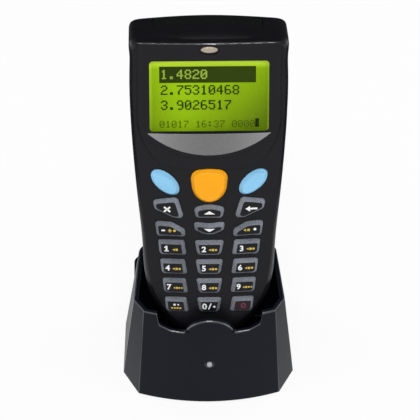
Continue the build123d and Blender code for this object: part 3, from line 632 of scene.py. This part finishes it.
def publish(shape: bmesh.types.BMesh, name: str, finishes: Iterable[Finish], node: str,
            replace: bool = True, smooth_deg: float = 30.0, edge: float = 0.0,
            edge_slot: int = -1, clamp: bool = True) -> bpy.types.Object:
    """Turn a bmesh into a finished piece that rides with a node.

    Args:
        shape: The mesh, in place; it is freed.
        name: The piece's name.
        finishes: Its finishes, by material number.
        node: The CAD node whose body it rides on.
        replace: Whether it stands for that node.
        smooth_deg: Edges sharper than this stay sharp.
        edge: The width of a rounded edge, or nought.
        edge_slot: The rounded edges' material number, or -1 for their faces' own.
        clamp: Whether short edges nearby hold the rounding back.

    Returns:
        The object.
    """
    mesh = as_mesh(shape, name)
    for finish in finishes:
        mesh.materials.append(SHELF.get(finish))
    mesh.shade_smooth()
    mesh.set_sharp_from_angle(angle=math.radians(smooth_deg))
    piece = set_out(name, mesh)
    if edge:
        rounding = piece.modifiers.new("rounded_edges", "BEVEL")
        rounding.width = edge * MM
        rounding.segments = EDGE_SEGMENTS
        rounding.limit_method = "WEIGHT" if "bevel_weight_edge" in mesh.attributes else "ANGLE"
        rounding.angle_limit = math.radians(smooth_deg)
        rounding.material = edge_slot
        rounding.use_clamp_overlap = clamp
        weighted = piece.modifiers.new("weighted_normals", "WEIGHTED_NORMAL")
        weighted.keep_sharp = True
    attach(piece, BODY_OF[node])
    if replace:
        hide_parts(node)
    LOG.info("%s: %d faces, rides on %s", name, len(mesh.polygons), BODY_OF[node])
    return piece


def merged(node: str, flat_deg: float = 0.2) -> bmesh.types.BMesh:
    """Copy a CAD node as one joined mesh with whole flat faces.

    Args:
        node: The node's name.
        flat_deg: Faces within this angle are joined.

    Returns:
        The copy.
    """
    shape = bmesh.new()
    shape.from_mesh(frame["nodes"][node].data)
    bmesh.ops.remove_doubles(shape, verts=shape.verts, dist=MERGE)
    bmesh.ops.dissolve_limit(shape, angle_limit=math.radians(flat_deg), use_dissolve_boundaries=False,
                             verts=shape.verts, edges=shape.edges, delimit={"NORMAL"})
    shape.normal_update()
    return shape


def placed(shape: bmesh.types.BMesh, matrix: Matrix) -> bmesh.types.BMesh:
    """Move a whole bmesh, and give it back."""
    bmesh.ops.transform(shape, matrix=matrix, verts=shape.verts)
    return shape


def rectangle(shape: bmesh.types.BMesh, centre: Vector, width: float, height: float,
              upright: bool = False) -> None:
    """Add one flat rectangle.

    Args:
        shape: The mesh it goes into.
        centre: Its middle, in metres.
        width: Its size along X, in metres.
        height: Its size along Y, or along Z if it is upright.
        upright: Whether it stands.
    """
    turn = Matrix.Rotation(math.pi / 2 if upright else 0.0, 4, "X")
    matrix = Matrix.Translation(centre) @ turn @ Matrix.Diagonal((width, height, 1.0, 1.0))
    bmesh.ops.create_grid(shape, x_segments=1, y_segments=1, size=0.5, matrix=matrix)


@dataclass(frozen=True)
class Carried:
    """A CAD node that keeps its shape and gets a finish and rounded edges."""

    node: str
    finish: Finish
    edge: float = 0.0
    smooth_deg: float = 30.0
    # A finish for the rounded edges, paler as a painted highlight, and glossier.
    painted_highlight_finish: Finish | None = None
    clamp: bool = True

    def build(self) -> bpy.types.Object:
        """Make the finished copy."""
        return self.show(merged(self.node))

    def show(self, shape: bmesh.types.BMesh) -> bpy.types.Object:
        """Publish a copy of the node, with its rounded edges in a painted highlight finish if it has one.

        Args:
            shape: The copy.

        Returns:
            The object.
        """
        finishes = [finish for finish in (self.finish, self.painted_highlight_finish) if finish]
        return publish(shape, f"finished_{self.node}", finishes, self.node, smooth_deg=self.smooth_deg,
                       edge=self.edge, edge_slot=1 if self.painted_highlight_finish else -1, clamp=self.clamp)


@dataclass
class Assembly:
    """A sub-assembly whose carried nodes need no more than a finish."""

    pieces: tuple[Carried, ...] = ()

    def build(self) -> None:
        """Make every carried piece."""
        for piece in self.pieces:
            piece.build()


# ------------------------------------------------------------------ housings
@dataclass
class Housings(Assembly):
    """The terminal's two shells with their seal, screws and contact pads."""

    # The front housing's rounded edges and the visor's upper edge take the painted highlight finish.
    front: Carried = Carried("front_housing", Finishes.case, 0.22, painted_highlight_finish=Finishes.case_highlight)
    pieces: tuple[Carried, ...] = (
        Carried("rear_housing", Finishes.case, 0.22), Carried("housing_seal", Finishes.seal),
        Carried("housing_screws", Finishes.black_screw, 0.15), Carried("contact_pads", Finishes.gold, 0.1))
    brow_above: float = 117.0
    brow_half: float = 25.6
    brow_deep: float = 1.6
    brow_least_rise: float = 0.12
    brow_most_rise: float = 0.99

    def build(self) -> None:
        """Make every piece of the housings."""
        self.front.show(self.mark_painted_highlight(merged(self.front.node)))
        super().build()

    def mark_painted_highlight(self, shape: bmesh.types.BMesh) -> bmesh.types.BMesh:
        """Mark the rounded upper edge of the visor for a finish that is paler, as a painted highlight, and
        glossier.

        Args:
            shape: The front housing's copy.

        Returns:
            The same copy.
        """
        turn = UNDOCK.to_3x3()
        for face in shape.faces:
            place = UNDOCK @ face.calc_center_median() / MM
            rises = self.brow_least_rise < (turn @ face.normal).z < self.brow_most_rise
            on_brow = place.z > self.brow_above and abs(place.x) < self.brow_half
            face.material_index = int(rises and on_brow and place.y < self.brow_deep)
        return shape


# ------------------------------------------------------------------ display
class Tone(Enum):
    """How dark a mark on the display is."""

    DARK = "dark"
    FAINT = "faint"
    LIGHT = "light"
    BAR = "bar"


# Each tone's finish, and how far before the bar's plane it lies.
DOT_LOOKS = {Tone.DARK: (Finishes.dark_dot, 0.01), Tone.FAINT: (Finishes.faint_dot, 0.01),
             Tone.LIGHT: (Finishes.light_dot, 0.02), Tone.BAR: (Finishes.bar, 0.0)}

GLYPHS = {
    "0": "01110 10001 10011 10101 11001 10001 01110", "1": "00100 01100 00100 00100 00100 00100 01110",
    "2": "01110 10001 00001 00110 01000 10000 11111", "3": "01110 10001 00001 00110 00001 10001 01110",
    "4": "00010 00110 01010 10010 11111 00010 00010", "5": "11111 10000 11110 00001 00001 10001 01110",
    "6": "01110 10000 10000 11110 10001 10001 01110", "7": "11111 00001 00010 00100 01000 01000 01000",
    "8": "01110 10001 10001 01110 10001 10001 01110", "9": "01110 10001 10001 01111 00001 00001 01110",
    ".": "00000 00000 00000 00000 00000 01100 01100", ":": "00000 01100 01100 00000 01100 01100 00000",
}


@dataclass(frozen=True)
class Line:
    """A line of digits, in dots from the picture's upper left corner.

    `cell` is the letters' pitch, `wide` and `tall` are the size of one glyph dot, and `bold` is how
    much wider than that a stroke is.
    """

    tone: Tone
    text: str
    x: float
    y: float
    cell: float = 8.0
    wide: float = 1.25
    tall: float = 1.45
    bold: float = 0.65


@dataclass
class DotPicture:
    """The dot-matrix picture: a menu with its first line marked, and a status line.

    The marks are (left, top, width, height) in dots; the depth is that of the bar's plane.
    """

    left: float = -17.6
    top: float = 109.5
    dot: float = 0.352
    depth: float = 3.47
    gap: float = 0.03
    bar: Block = (0.0, 1.3, 97.0, 17.4)
    cursor: Block = (96.4, 57.0, 3.9, 9.3)
    lines: tuple[Line, ...] = (
        Line(Tone.LIGHT, "1.4820", 1.4, 4.6, tall=1.42, bold=0.5),
        Line(Tone.DARK, "2.75310468", 1.4, 21.2),
        Line(Tone.DARK, "3.9026517", 1.4, 37.2),
        Line(Tone.FAINT, "01017 16:37 0000", 0.0, 59.0, 6.07, 1.0, 1.06, 0.15))
    marks: dict[Tone, list[Block]] = field(default_factory=lambda: {tone: [] for tone in Tone})

    def write(self, line: Line) -> None:
        """Note the dots of one line.

        Args:
            line: The line.
        """
        for place, letter in enumerate(line.text):
            for row, bits in enumerate(GLYPHS.get(letter, "").split()):
                for column, bit in enumerate(bits):
                    if bit == "1":
                        left = line.x + place * line.cell + column * line.wide
                        upper = line.y + row * line.tall
                        self.marks[line.tone].append((left, upper, line.wide + line.bold, line.tall))

    def build(self) -> None:
        """Make one thin piece for each tone."""
        self.marks[Tone.BAR].append(self.bar)
        for line in self.lines:
            self.write(line)
        self.marks[Tone.DARK].append(self.cursor)
        for tone, marks in self.marks.items():
            finish, lift = DOT_LOOKS[tone]
            shape = bmesh.new()
            for x, y, width, height in marks:
                centre = Vector((self.left + (x + width / 2) * self.dot, self.depth - lift,
                                 self.top - (y + height / 2) * self.dot))
                rectangle(shape, centre * MM, (width * self.dot - self.gap) * MM,
                          (height * self.dot - self.gap) * MM, upright=True)
            publish(placed(shape, DOCK), f"display_marks_{tone.value}", [finish], "display_panel",
                    replace=False)


@dataclass
class Display(Assembly):
    """The display stack with the silver crescent and the status light."""

    pieces: tuple[Carried, ...] = (
        Carried("display_panel", Finishes.screen), Carried("display_holder", Finishes.holder, 0.1),
        Carried("display_window", Finishes.window, 0.05), Carried("crescent_trim", Finishes.silver, 0.08),
        Carried("status_light", Finishes.light, 0.5))

    def build(self) -> None:
        """Make every piece of the display."""
        super().build()
        DotPicture().build()


# ------------------------------------------------------------------ scan head
@dataclass
class ScanHead(Assembly):
    """The pane in the top end and the engine behind it."""

    pieces: tuple[Carried, ...] = (
        Carried("scan_window", Finishes.pane, 0.15), Carried("scan_engine", Finishes.engine, 0.3),
        Carried("scan_lens", Finishes.lens, 0.1))


# ------------------------------------------------------------------ keypad
class Ink(IntEnum):
    """The printing's material numbers."""

    WHITE = 0
    TINTED = 1


class Mark(Enum):
    """The simple printed shapes, by their corners."""

    TRIANGLE = 3
    SQUARE = 4
    HEXAGON = 6
    DISC = 24


@dataclass(frozen=True)
class Printed:
    """One printed shape or digit on a key, placed from the middle of its top face.

    A digit's width is its stretch over its natural width. `turn` turns a shape before it is fitted
    to its size, and `spin` after. `ring` is the width of what is left of an open shape.
    """

    ink: Ink
    x: float
    z: float
    width: float
    height: float
    text: str = ""
    mark: Mark = Mark.SQUARE
    turn: float = 0.0
    spin: float = 0.0
    ring: float = 0.0
    bold: float = 0.028
    curve_steps: int = 3

    def draw(self) -> bpy.types.Mesh:
        """Draw it flat, in metres, about its own place.

        Returns:
            A mesh that the caller removes.
        """
        shape = self._digit() if self.text else self._shape()
        placed(shape, Matrix.Translation((self.x * MM, self.z * MM, 0.0))
               @ Matrix.Rotation(math.radians(self.spin), 4, "Z"))
        for face in shape.faces:
            face.material_index = self.ink
        return as_mesh(shape, "printed")

    def _digit(self) -> bmesh.types.BMesh:
        """Draw a digit with a bold stroke.

        Returns:
            Its flat mesh.
        """
        curve = bpy.data.curves.new("digit", "FONT")
        curve.body = self.text
        curve.align_x = "CENTER"
        curve.align_y = "CENTER"
        curve.offset = self.bold
        curve.resolution_u = self.curve_steps
        letters = set_out("digit", curve)
        bpy.context.view_layer.update()
        drawn = letters.evaluated_get(bpy.context.evaluated_depsgraph_get())
        mesh = bpy.data.meshes.new_from_object(drawn)
        shape = bmesh.new()
        shape.from_mesh(mesh)
        bpy.data.objects.remove(letters)
        bpy.data.curves.remove(curve)
        bpy.data.meshes.remove(mesh)
        self._fit(shape)
        return shape

    def _shape(self) -> bmesh.types.BMesh:
        """Draw a mark, open if it is a ring.

        Returns:
            Its flat mesh.
        """
        shape = bmesh.new()
        base = 45.0 if self.mark is Mark.SQUARE else 0.0
        turn = Matrix.Rotation(math.radians(self.turn + base), 4, "Z")
        bmesh.ops.create_circle(shape, cap_ends=True, segments=self.mark.value, radius=0.5, matrix=turn)
        self._fit(shape)
        if self.ring:
            inner = bmesh.ops.inset_region(shape, faces=shape.faces[:], thickness=self.ring * MM,
                                           use_boundary=True, use_even_offset=True)
            rim = set(inner["faces"])
            middle = [face for face in shape.faces if face not in rim]
            bmesh.ops.delete(shape, geom=middle, context="FACES")
        return shape

    def _fit(self, shape: bmesh.types.BMesh) -> None:
        """Scale and centre a flat mesh to the wanted size.

        Args:
            shape: The mesh.
        """
        low, high = (Vector([end(vert.co[axis] for vert in shape.verts) for axis in (0, 1)] + [0.0])
                     for end in (min, max))
        tall = self.height * MM / (high.y - low.y)
        wide = self.width * tall if self.text else self.width * MM / (high.x - low.x)
        bmesh.ops.translate(shape, verts=shape.verts, vec=-(low + high) / 2)
        bmesh.ops.scale(shape, verts=shape.verts, vec=(wide, tall, 1.0))


def small_marks(count: int, x: float, z: float, pitch: float, size: float) -> list[Printed]:
    """A row of small tinted marks, each of another shape.

    Args:
        count: How many.
        x: The row's middle across the key.
        z: The row's middle along the key.
        pitch: Their pitch.
        size: Their height.

    Returns:
        The marks.
    """
    order = ((Mark.TRIANGLE, 90.0), (Mark.SQUARE, 0.0), (Mark.HEXAGON, 0.0), (Mark.SQUARE, 45.0))
    first = x - (count - 1) * pitch / 2
    return [Printed(Ink.TINTED, first + step * pitch, z, size, size, mark=mark, turn=turn)
            for step, (mark, turn) in enumerate(order[:count])]


@dataclass(frozen=True)
class KeyLook:
    """How one key is coloured and printed."""

    name: str
    prints: tuple[Printed, ...] = ()
    side: Finish = Finishes.key_side
    top: Finish = Finishes.key_top
    tint: Finish = Finishes.yellow_ink
    rounding: float = 0.28


def number_look(digit: str, count: int) -> KeyLook:
    """The look of a digit key.

    Args:
        digit: The digit.
        count: How many small marks stand beside it.

    Returns:
        The look.
    """
    large = [Printed(Ink.WHITE, -2.0, 0.05, 1.12, 2.2, text=digit)]
    if digit == "1":
        stem = Printed(Ink.WHITE, -1.85, 0.05, 0.64, 2.2)
        flag = Printed(Ink.WHITE, -2.28, 0.72, 0.95, 0.42, spin=40.0)
        large = [stem, flag, Printed(Ink.WHITE, -1.85, -0.86, 1.5, 0.38)]
    pitch, size = (1.12, 0.86) if count < 4 else (0.95, 0.74)
    return KeyLook(f"key_{digit}", (*large, *small_marks(count, 1.25, -0.25, pitch, size)))


@dataclass
class Keypad:
    """All the keys with their printing, and the mat under them."""

    ink_lift: float = 0.012
    ink_thickness: float = 0.02
    scan_rounding: float = 0.8
    leaf_rounding: float = 0.75
    crest_segments: int = 4
    crest_facing: float = 0.97
    flat_deg: float = 1.0
    smooth_deg: float = 38.0

    def looks(self) -> list[KeyLook]:
        """List the looks of the keys.

        Returns:
            One look for each key.
        """
        white, tinted = Ink.WHITE, Ink.TINTED
        counts = {"1": 2, "7": 4, "9": 4}
        digits = [number_look(digit, counts.get(digit, 3)) for digit in "123456789"]
        zero = KeyLook("key_0", (
            Printed(white, -1.75, 0.0, 1.15, 2.3, text="0"),
            Printed(white, 0.15, 0.0, 0.42, 2.5, spin=-22.0),
            Printed(white, 1.8, -0.15, 1.1, 1.0, turn=45.0)))
        function = KeyLook("key_function", (
            Printed(white, -0.6, 0.55, 0.8, 0.7),
            Printed(white, 0.6, 0.55, 0.8, 0.7, mark=Mark.TRIANGLE, turn=90.0),
            *(Printed(tinted, step - 1.5, -0.75, 0.75, 0.75, mark=Mark.HEXAGON) for step in range(4))))
        power = KeyLook("key_power", (Printed(tinted, 0.3, 0.0, 1.9, 2.0, mark=Mark.DISC, ring=0.42),),
                        top=Finishes.key_power, tint=Finishes.red_ink)
        escape = KeyLook("key_escape", tuple(
            Printed(white, -0.1, 0.0, 2.9, 0.62, spin=turn) for turn in (40.0, -40.0)))
        back = KeyLook("key_backspace", (
            Printed(white, -1.3, 0.0, 1.7, 2.2, mark=Mark.TRIANGLE, turn=90.0),
            Printed(white, 0.8, 0.0, 2.8, 0.7)))
        minus = KeyLook("key_minus", (
            Printed(white, -2.4, 0.0, 1.3, 0.6), Printed(tinted, 0.0, 0.0, 1.3, 0.42),
            Printed(tinted, 0.0, 0.0, 0.42, 1.3), Printed(tinted, 1.7, 0.0, 0.95, 1.0, mark=Mark.HEXAGON)))
        symbol = KeyLook("key_symbol", (
            Printed(tinted, -1.5, 0.0, 1.0, 1.0, mark=Mark.TRIANGLE, turn=90.0),
            Printed(tinted, -0.1, 0.0, 0.9, 0.9), Printed(white, 2.2, 0.2, 1.05, 1.05, mark=Mark.DISC)))
        up = KeyLook("key_up", (Printed(white, 0.0, 0.1, 4.0, 1.25, mark=Mark.TRIANGLE),))
        down = KeyLook("key_down", (Printed(white, 0.0, -0.1, 4.0, 1.2, mark=Mark.TRIANGLE, turn=180.0),))
        scan = KeyLook("key_scan", side=Finishes.orange, top=Finishes.orange, rounding=self.scan_rounding)
        leaves = [KeyLook(f"key_{side}", side=Finishes.blue, top=Finishes.blue, rounding=self.leaf_rounding)
                  for side in ("left", "right")]
        return [*digits, zero, function, power, escape, back, minus, symbol, up, down, scan, *leaves]

    def build(self) -> None:
        """Make the mat and every key."""
        Carried("keypad_mat", Finishes.mat).build()
        for look in self.looks():
            self.cap(look)
            if look.prints:
                self.printing(look)

    def crest(self, shape: bmesh.types.BMesh) -> bmesh.types.BMFace:
        """Find a key's top face, which lies nearest the user.

        Args:
            shape: The key's mesh.

        Returns:
            The face.
        """
        toward = DOCK.to_3x3() @ Vector((0.0, -1.0, 0.0))
        facing = [face for face in shape.faces if face.normal.dot(toward) > self.crest_facing]
        return max(facing, key=lambda face: face.calc_center_median().dot(toward))

    def cap(self, look: KeyLook) -> None:
        """Make a key's cap with a rounded crest.

        Args:
            look: The key's look.
        """
        shape = merged(look.name, self.flat_deg)
        crest = self.crest(shape)
        crest.material_index = 1
        bmesh.ops.bevel(shape, geom=crest.edges[:], offset=look.rounding * MM, offset_type="OFFSET",
                        segments=self.crest_segments, profile=0.5, affect="EDGES", material=-1,
                        clamp_overlap=True)
        publish(shape, f"cap_{look.name}", [look.side, look.top], look.name, smooth_deg=self.smooth_deg)

    def seat(self, look: KeyLook) -> Matrix:
        """Find the place and tilt of a key's printing.

        Args:
            look: The key's look.

        Returns:
            The move from a flat sheet to just above the middle of the key's top face.
        """
        shape = merged(look.name, self.flat_deg)
        crest = self.crest(shape)
        corners = [UNDOCK @ vert.co for vert in crest.verts]
        x, z = ((min(corner[axis] for corner in corners) + max(corner[axis] for corner in corners)) / 2
                for axis in (0, 2))
        normal = UNDOCK.to_3x3() @ crest.normal
        centre = UNDOCK @ crest.calc_center_median()
        shape.free()
        tilt = math.atan2(normal.x, -normal.y)
        y = centre.y + (x - centre.x) * math.tan(tilt)
        return (DOCK @ Matrix.Translation((x, y, z)) @ Matrix.Rotation(tilt, 4, "Z")
                @ Matrix.Rotation(math.pi / 2, 4, "X") @ Matrix.Translation((0, 0, self.ink_lift * MM)))

    def printing(self, look: KeyLook) -> None:
        """Lay a key's printing on its top face.

        Args:
            look: The key's look.
        """
        sheet = bmesh.new()
        for item in look.prints:
            mesh = item.draw()
            sheet.from_mesh(mesh)
            bpy.data.meshes.remove(mesh)
        grown = bmesh.ops.extrude_face_region(sheet, geom=sheet.faces[:])
        raised = [part for part in grown["geom"] if isinstance(part, bmesh.types.BMVert)]
        bmesh.ops.translate(sheet, verts=raised, vec=(0, 0, self.ink_thickness * MM))
        bmesh.ops.recalc_face_normals(sheet, faces=sheet.faces)
        publish(placed(sheet, self.seat(look)), f"printing_{look.name}", [Finishes.white_ink, look.tint],
                look.name, replace=False)


# ------------------------------------------------------------------ inside
@dataclass
class Inside(Assembly):
    """The boards, chips, cells and small parts behind the housings, and the cover over the cells."""

    pieces: tuple[Carried, ...] = (
        Carried("main_board", Finishes.board), Carried("board_chips", Finishes.chip, 0.12),
        Carried("buzzer", Finishes.engine, 0.2), Carried("backup_cell", Finishes.steel, 0.15),
        Carried("battery_cells", Finishes.cell, 0.15), Carried("battery_contacts", Finishes.steel),
        Carried("battery_cover", Finishes.case, 0.2))


# ------------------------------------------------------------------ cradle
@dataclass
class Cradle(Assembly):
    """The desk cradle with its electronics, pins, feet and light."""

    # The shell's rounded edges take a finish that is paler, as a painted highlight, and glossier.
    shell: Carried = Carried("cradle_shell", Finishes.cradle, 0.5, 26.0, Finishes.cradle_highlight, False)
    plain_share: float = 0.5
    rim_above: float = 25.0
    rim_least_rise: float = 0.7
    rim_outward: float = -0.002
    led_share: float = 0.94
    led_rise: float = 0.45
    led_rings: int = 8
    led_steps: int = 32
    springs: tuple[str, ...] = ("contact_spring_left", "contact_spring_right")
    pieces: tuple[Carried, ...] = (
        Carried("cradle_base", Finishes.cradle, 0.2), Carried("cradle_feet", Finishes.foot, 0.3),
        Carried("cradle_screws", Finishes.steel, 0.12), Carried("cradle_board", Finishes.board),
        Carried("dc_jack", Finishes.socket, 0.15), Carried("serial_port", Finishes.socket, 0.15),
        Carried("contact_block", Finishes.socket, 0.12), Carried("contact_pin_left", Finishes.gold),
        Carried("contact_pin_right", Finishes.gold), Carried("cradle_led_lens", Finishes.led))

    def build(self) -> None:
        """Make every piece of the cradle, and give the springs their finish."""
        self.shell.show(self.lipped(merged(self.shell.node)))
        super().build()
        self.dome()
        for node in self.springs:
            spring = frame["nodes"][node]
            spring.data.materials.clear()
            spring.data.materials.append(SHELF.get(Finishes.steel))

    def lipped(self, shape: bmesh.types.BMesh) -> bmesh.types.BMesh:
        """Weigh the shell's edges, so that the outer edge of its rim is rounded most and has the widest
        painted highlight.

        Args:
            shape: The shell's copy.

        Returns:
            The same copy.
        """
        weights = shape.edges.layers.float.new("bevel_weight_edge")
        sharp = math.radians(self.shell.smooth_deg)
        for edge in shape.edges:
            if len(edge.link_faces) != 2 or edge.calc_face_angle() < sharp:
                continue
            normals = [face.normal for face in edge.link_faces]
            middle = (edge.verts[0].co + edge.verts[1].co) / 2
            rises = max(normal.z for normal in normals) > self.rim_least_rise
            outward = Vector((middle.x, middle.y, 0.0))
            outer = min(normal.dot(outward) for normal in normals) > self.rim_outward
            on_rim = rises and outer and middle.z > self.rim_above * MM
            edge[weights] = 1.0 if on_rim else self.plain_share
        return shape

    def dome(self) -> None:
        """Turn the domed end of the cradle's light."""
        low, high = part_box("cradle_led_lens")
        radius = (high[0] - low[0]) / 2
        seat = Matrix.Translation(((low[0] + high[0]) / 2, 0.0, high[2] - radius))
        shape = bmesh.new()
        verts = []
        for step in range(self.led_rings + 1):
            angle = step * math.pi / 2 / self.led_rings
            verts.append(shape.verts.new((radius * self.led_share * math.sin(angle),
                                          low[1] - self.led_rise * MM * math.cos(angle), 0.0)))
        edges = [shape.edges.new(pair) for pair in zip(verts, verts[1:])]
        bmesh.ops.spin(shape, geom=verts + edges, cent=(0, 0, 0), axis=(0, 1, 0), angle=2 * math.pi,
                       steps=self.led_steps, use_merge=True)
        bmesh.ops.remove_doubles(shape, verts=shape.verts, dist=MERGE)
        bmesh.ops.recalc_face_normals(shape, faces=shape.faces)
        publish(placed(shape, seat), "cradle_light_dome", [Finishes.led], "cradle_led_lens", replace=False)


# ------------------------------------------------------------------ studio
@dataclass(frozen=True)
class Lamp:
    """A soft square lamp that points at the object, in metres and watts."""

    name: str
    place: Place
    size: float
    watts: float


@dataclass(frozen=True)
class Card:
    """A dark rectangle, lying or upright, in metres."""

    centre: Place
    width: float
    height: float
    upright: bool = False


@dataclass
class Studio:
    """The pale floor, the soft lamps, the dark cards, the world and the camera.

    The camera's target, distance and focal length are in millimetres, and its angles in degrees.
    """

    target: Place = (0.23, -12.615, 75.01)
    azimuth: float = -1.69
    elevation: float = 40.52
    roll: float = 0.57
    distance: float = 908.4
    focal: float = 217.3
    sensor: float = 36.0
    farthest: float = 10.0
    floor_radius: float = 3.0
    floor_sides: int = 64
    floor_dark: Colour = (0.84, 0.84, 0.84)
    floor_pale: Colour = (0.88, 0.88, 0.88)
    floor_cloud: float = 60.0
    floor_white: float = 0.88
    matt: float = 0.9
    white: Rgba = (1.0, 1.0, 1.0, 1.0)
    soft: Rgba = (0.96, 0.98, 1.0, 1.0)
    soft_strength: float = 0.32
    card_black: Rgba = (0.004, 0.004, 0.004, 1.0)
    cards: tuple[Card, ...] = (
        Card((0.0, 0.45, 0.45), 1.8, 0.9, True), Card((0.0, 0.255, 0.002), 1.8, 0.39),
        Card((0.5, -0.02, 0.002), 0.8, 0.16), Card((-0.5, -0.02, 0.002), 0.8, 0.16))
    lamps: tuple[Lamp, ...] = (
        Lamp("key_lamp", (0.0, -0.50, 0.98), 0.34, 5.4), Lamp("left_lamp", (-0.95, -0.35, 0.45), 0.6, 2.8),
        Lamp("right_lamp", (0.95, -0.35, 0.45), 0.6, 2.8),
        Lamp("rear_lamp_left", (-0.60, 0.40, 0.20), 0.35, 2.2),
        Lamp("rear_lamp_right", (0.60, 0.40, 0.20), 0.35, 2.2))

    def build(self) -> None:
        """Set up the whole studio."""
        self.lay_floor()
        self.light_world()
        self.set_cards()
        for lamp in self.lamps:
            self.hang(lamp)
        self.set_camera()
        bpy.context.scene.view_settings.view_transform = "Standard"

    @staticmethod
    def scenery(name: str, shape: bmesh.types.BMesh, material: bpy.types.Material) -> bpy.types.Object:
        """Turn a bmesh into an object of the studio.

        Args:
            name: The object's name.
            shape: The mesh; it is freed.
            material: Its material.

        Returns:
            The object.
        """
        mesh = as_mesh(shape, name)
        mesh.materials.append(material)
        return set_out(name, mesh)

    def lay_floor(self) -> None:
        """Lay the pale floor, which looks near white and still takes the object's shadow."""
        shape = bmesh.new()
        bmesh.ops.create_circle(shape, cap_ends=True, segments=self.floor_sides, radius=self.floor_radius)
        graph = Graph.named("pale_floor")
        pale = graph.node("ShaderNodeBsdfPrincipled", values={
            "Base Color": graph.blend(graph.noise(self.floor_cloud), self.floor_dark, self.floor_pale),
            "Roughness": self.matt})
        glow = graph.node("ShaderNodeEmission", values={"Color": self.white, "Strength": 1.0})
        share = graph.seen() * self.floor_white
        material = graph.end(graph.node("ShaderNodeMixShader", values={0: share, 1: pale, 2: glow}))
        floor = self.scenery("floor", shape, material)

    def light_world(self) -> None:
        """Light the scene softly all round, with a white ground for the camera, metal and glass."""
        graph = Graph(bpy.data.worlds.new("studio"))
        soft, white = (graph.node("ShaderNodeBackground", values={"Color": colour, "Strength": strength})
                       for colour, strength in ((self.soft, self.soft_strength), (self.white, 1.0)))
        mix = graph.node("ShaderNodeMixShader", values={0: graph.seen(), 1: soft, 2: white})
        bpy.context.scene.world = graph.end(mix, "ShaderNodeOutputWorld")

    def set_cards(self) -> None:
        """Set dark cards behind the object and beside it on the floor, which only its reflections show."""
        shape = bmesh.new()
        for card in self.cards:
            rectangle(shape, Vector(card.centre), card.width, card.height, card.upright)
        black = Graph.named("card_black").close(Base_Color=self.card_black, Roughness=self.matt,
                                                Specular_IOR_Level=0.0)
        cards = self.scenery("dark_cards", shape, black)
        cards.visible_camera = False
        cards.visible_diffuse = False
        cards.visible_transmission = False
        cards.visible_shadow = False

    def hang(self, lamp: Lamp) -> None:
        """Hang one lamp.

        Args:
            lamp: The lamp.
        """
        data = bpy.data.lights.new(lamp.name, "AREA")
        data.shape = "SQUARE"
        data.size = lamp.size
        data.energy = lamp.watts
        hung = set_out(lamp.name, data)
        aim = Vector(self.target) * MM - Vector(lamp.place)
        hung.location = lamp.place
        hung.rotation_euler = aim.to_track_quat("-Z", "Y").to_euler()

    def set_camera(self) -> None:
        """Set the camera at the viewing angle."""
        data = bpy.data.cameras.new("camera")
        data.lens = self.focal
        data.sensor_width = self.sensor
        data.clip_end = self.farthest
        camera = set_out("camera", data)
        turn, lift, roll = (math.radians(angle) for angle in (self.azimuth, self.elevation, self.roll))
        back = Vector((math.sin(turn) * math.cos(lift), -math.cos(turn) * math.cos(lift), math.sin(lift)))
        level = (-back).cross(Vector((0, 0, 1))).normalized()
        upright = level.cross(-back)
        right = level * math.cos(roll) + upright * math.sin(roll)
        up = upright * math.cos(roll) - level * math.sin(roll)
        matrix = Matrix((right, up, back)).transposed().to_4x4()
        matrix.translation = (Vector(self.target) + back * self.distance) * MM
        camera.matrix_world = matrix
        bpy.context.scene.camera = camera


def main() -> None:
    """Build the classes in order."""
    logging.basicConfig(level=logging.INFO, format="%(message)s")
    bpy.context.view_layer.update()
    for assembly in (Housings(), Display(), ScanHead(), Keypad(), Inside(), Cradle(), Studio()):
        assembly.build()
        LOG.info("%s done", type(assembly).__name__)


if __name__ == "__main__":
    main()
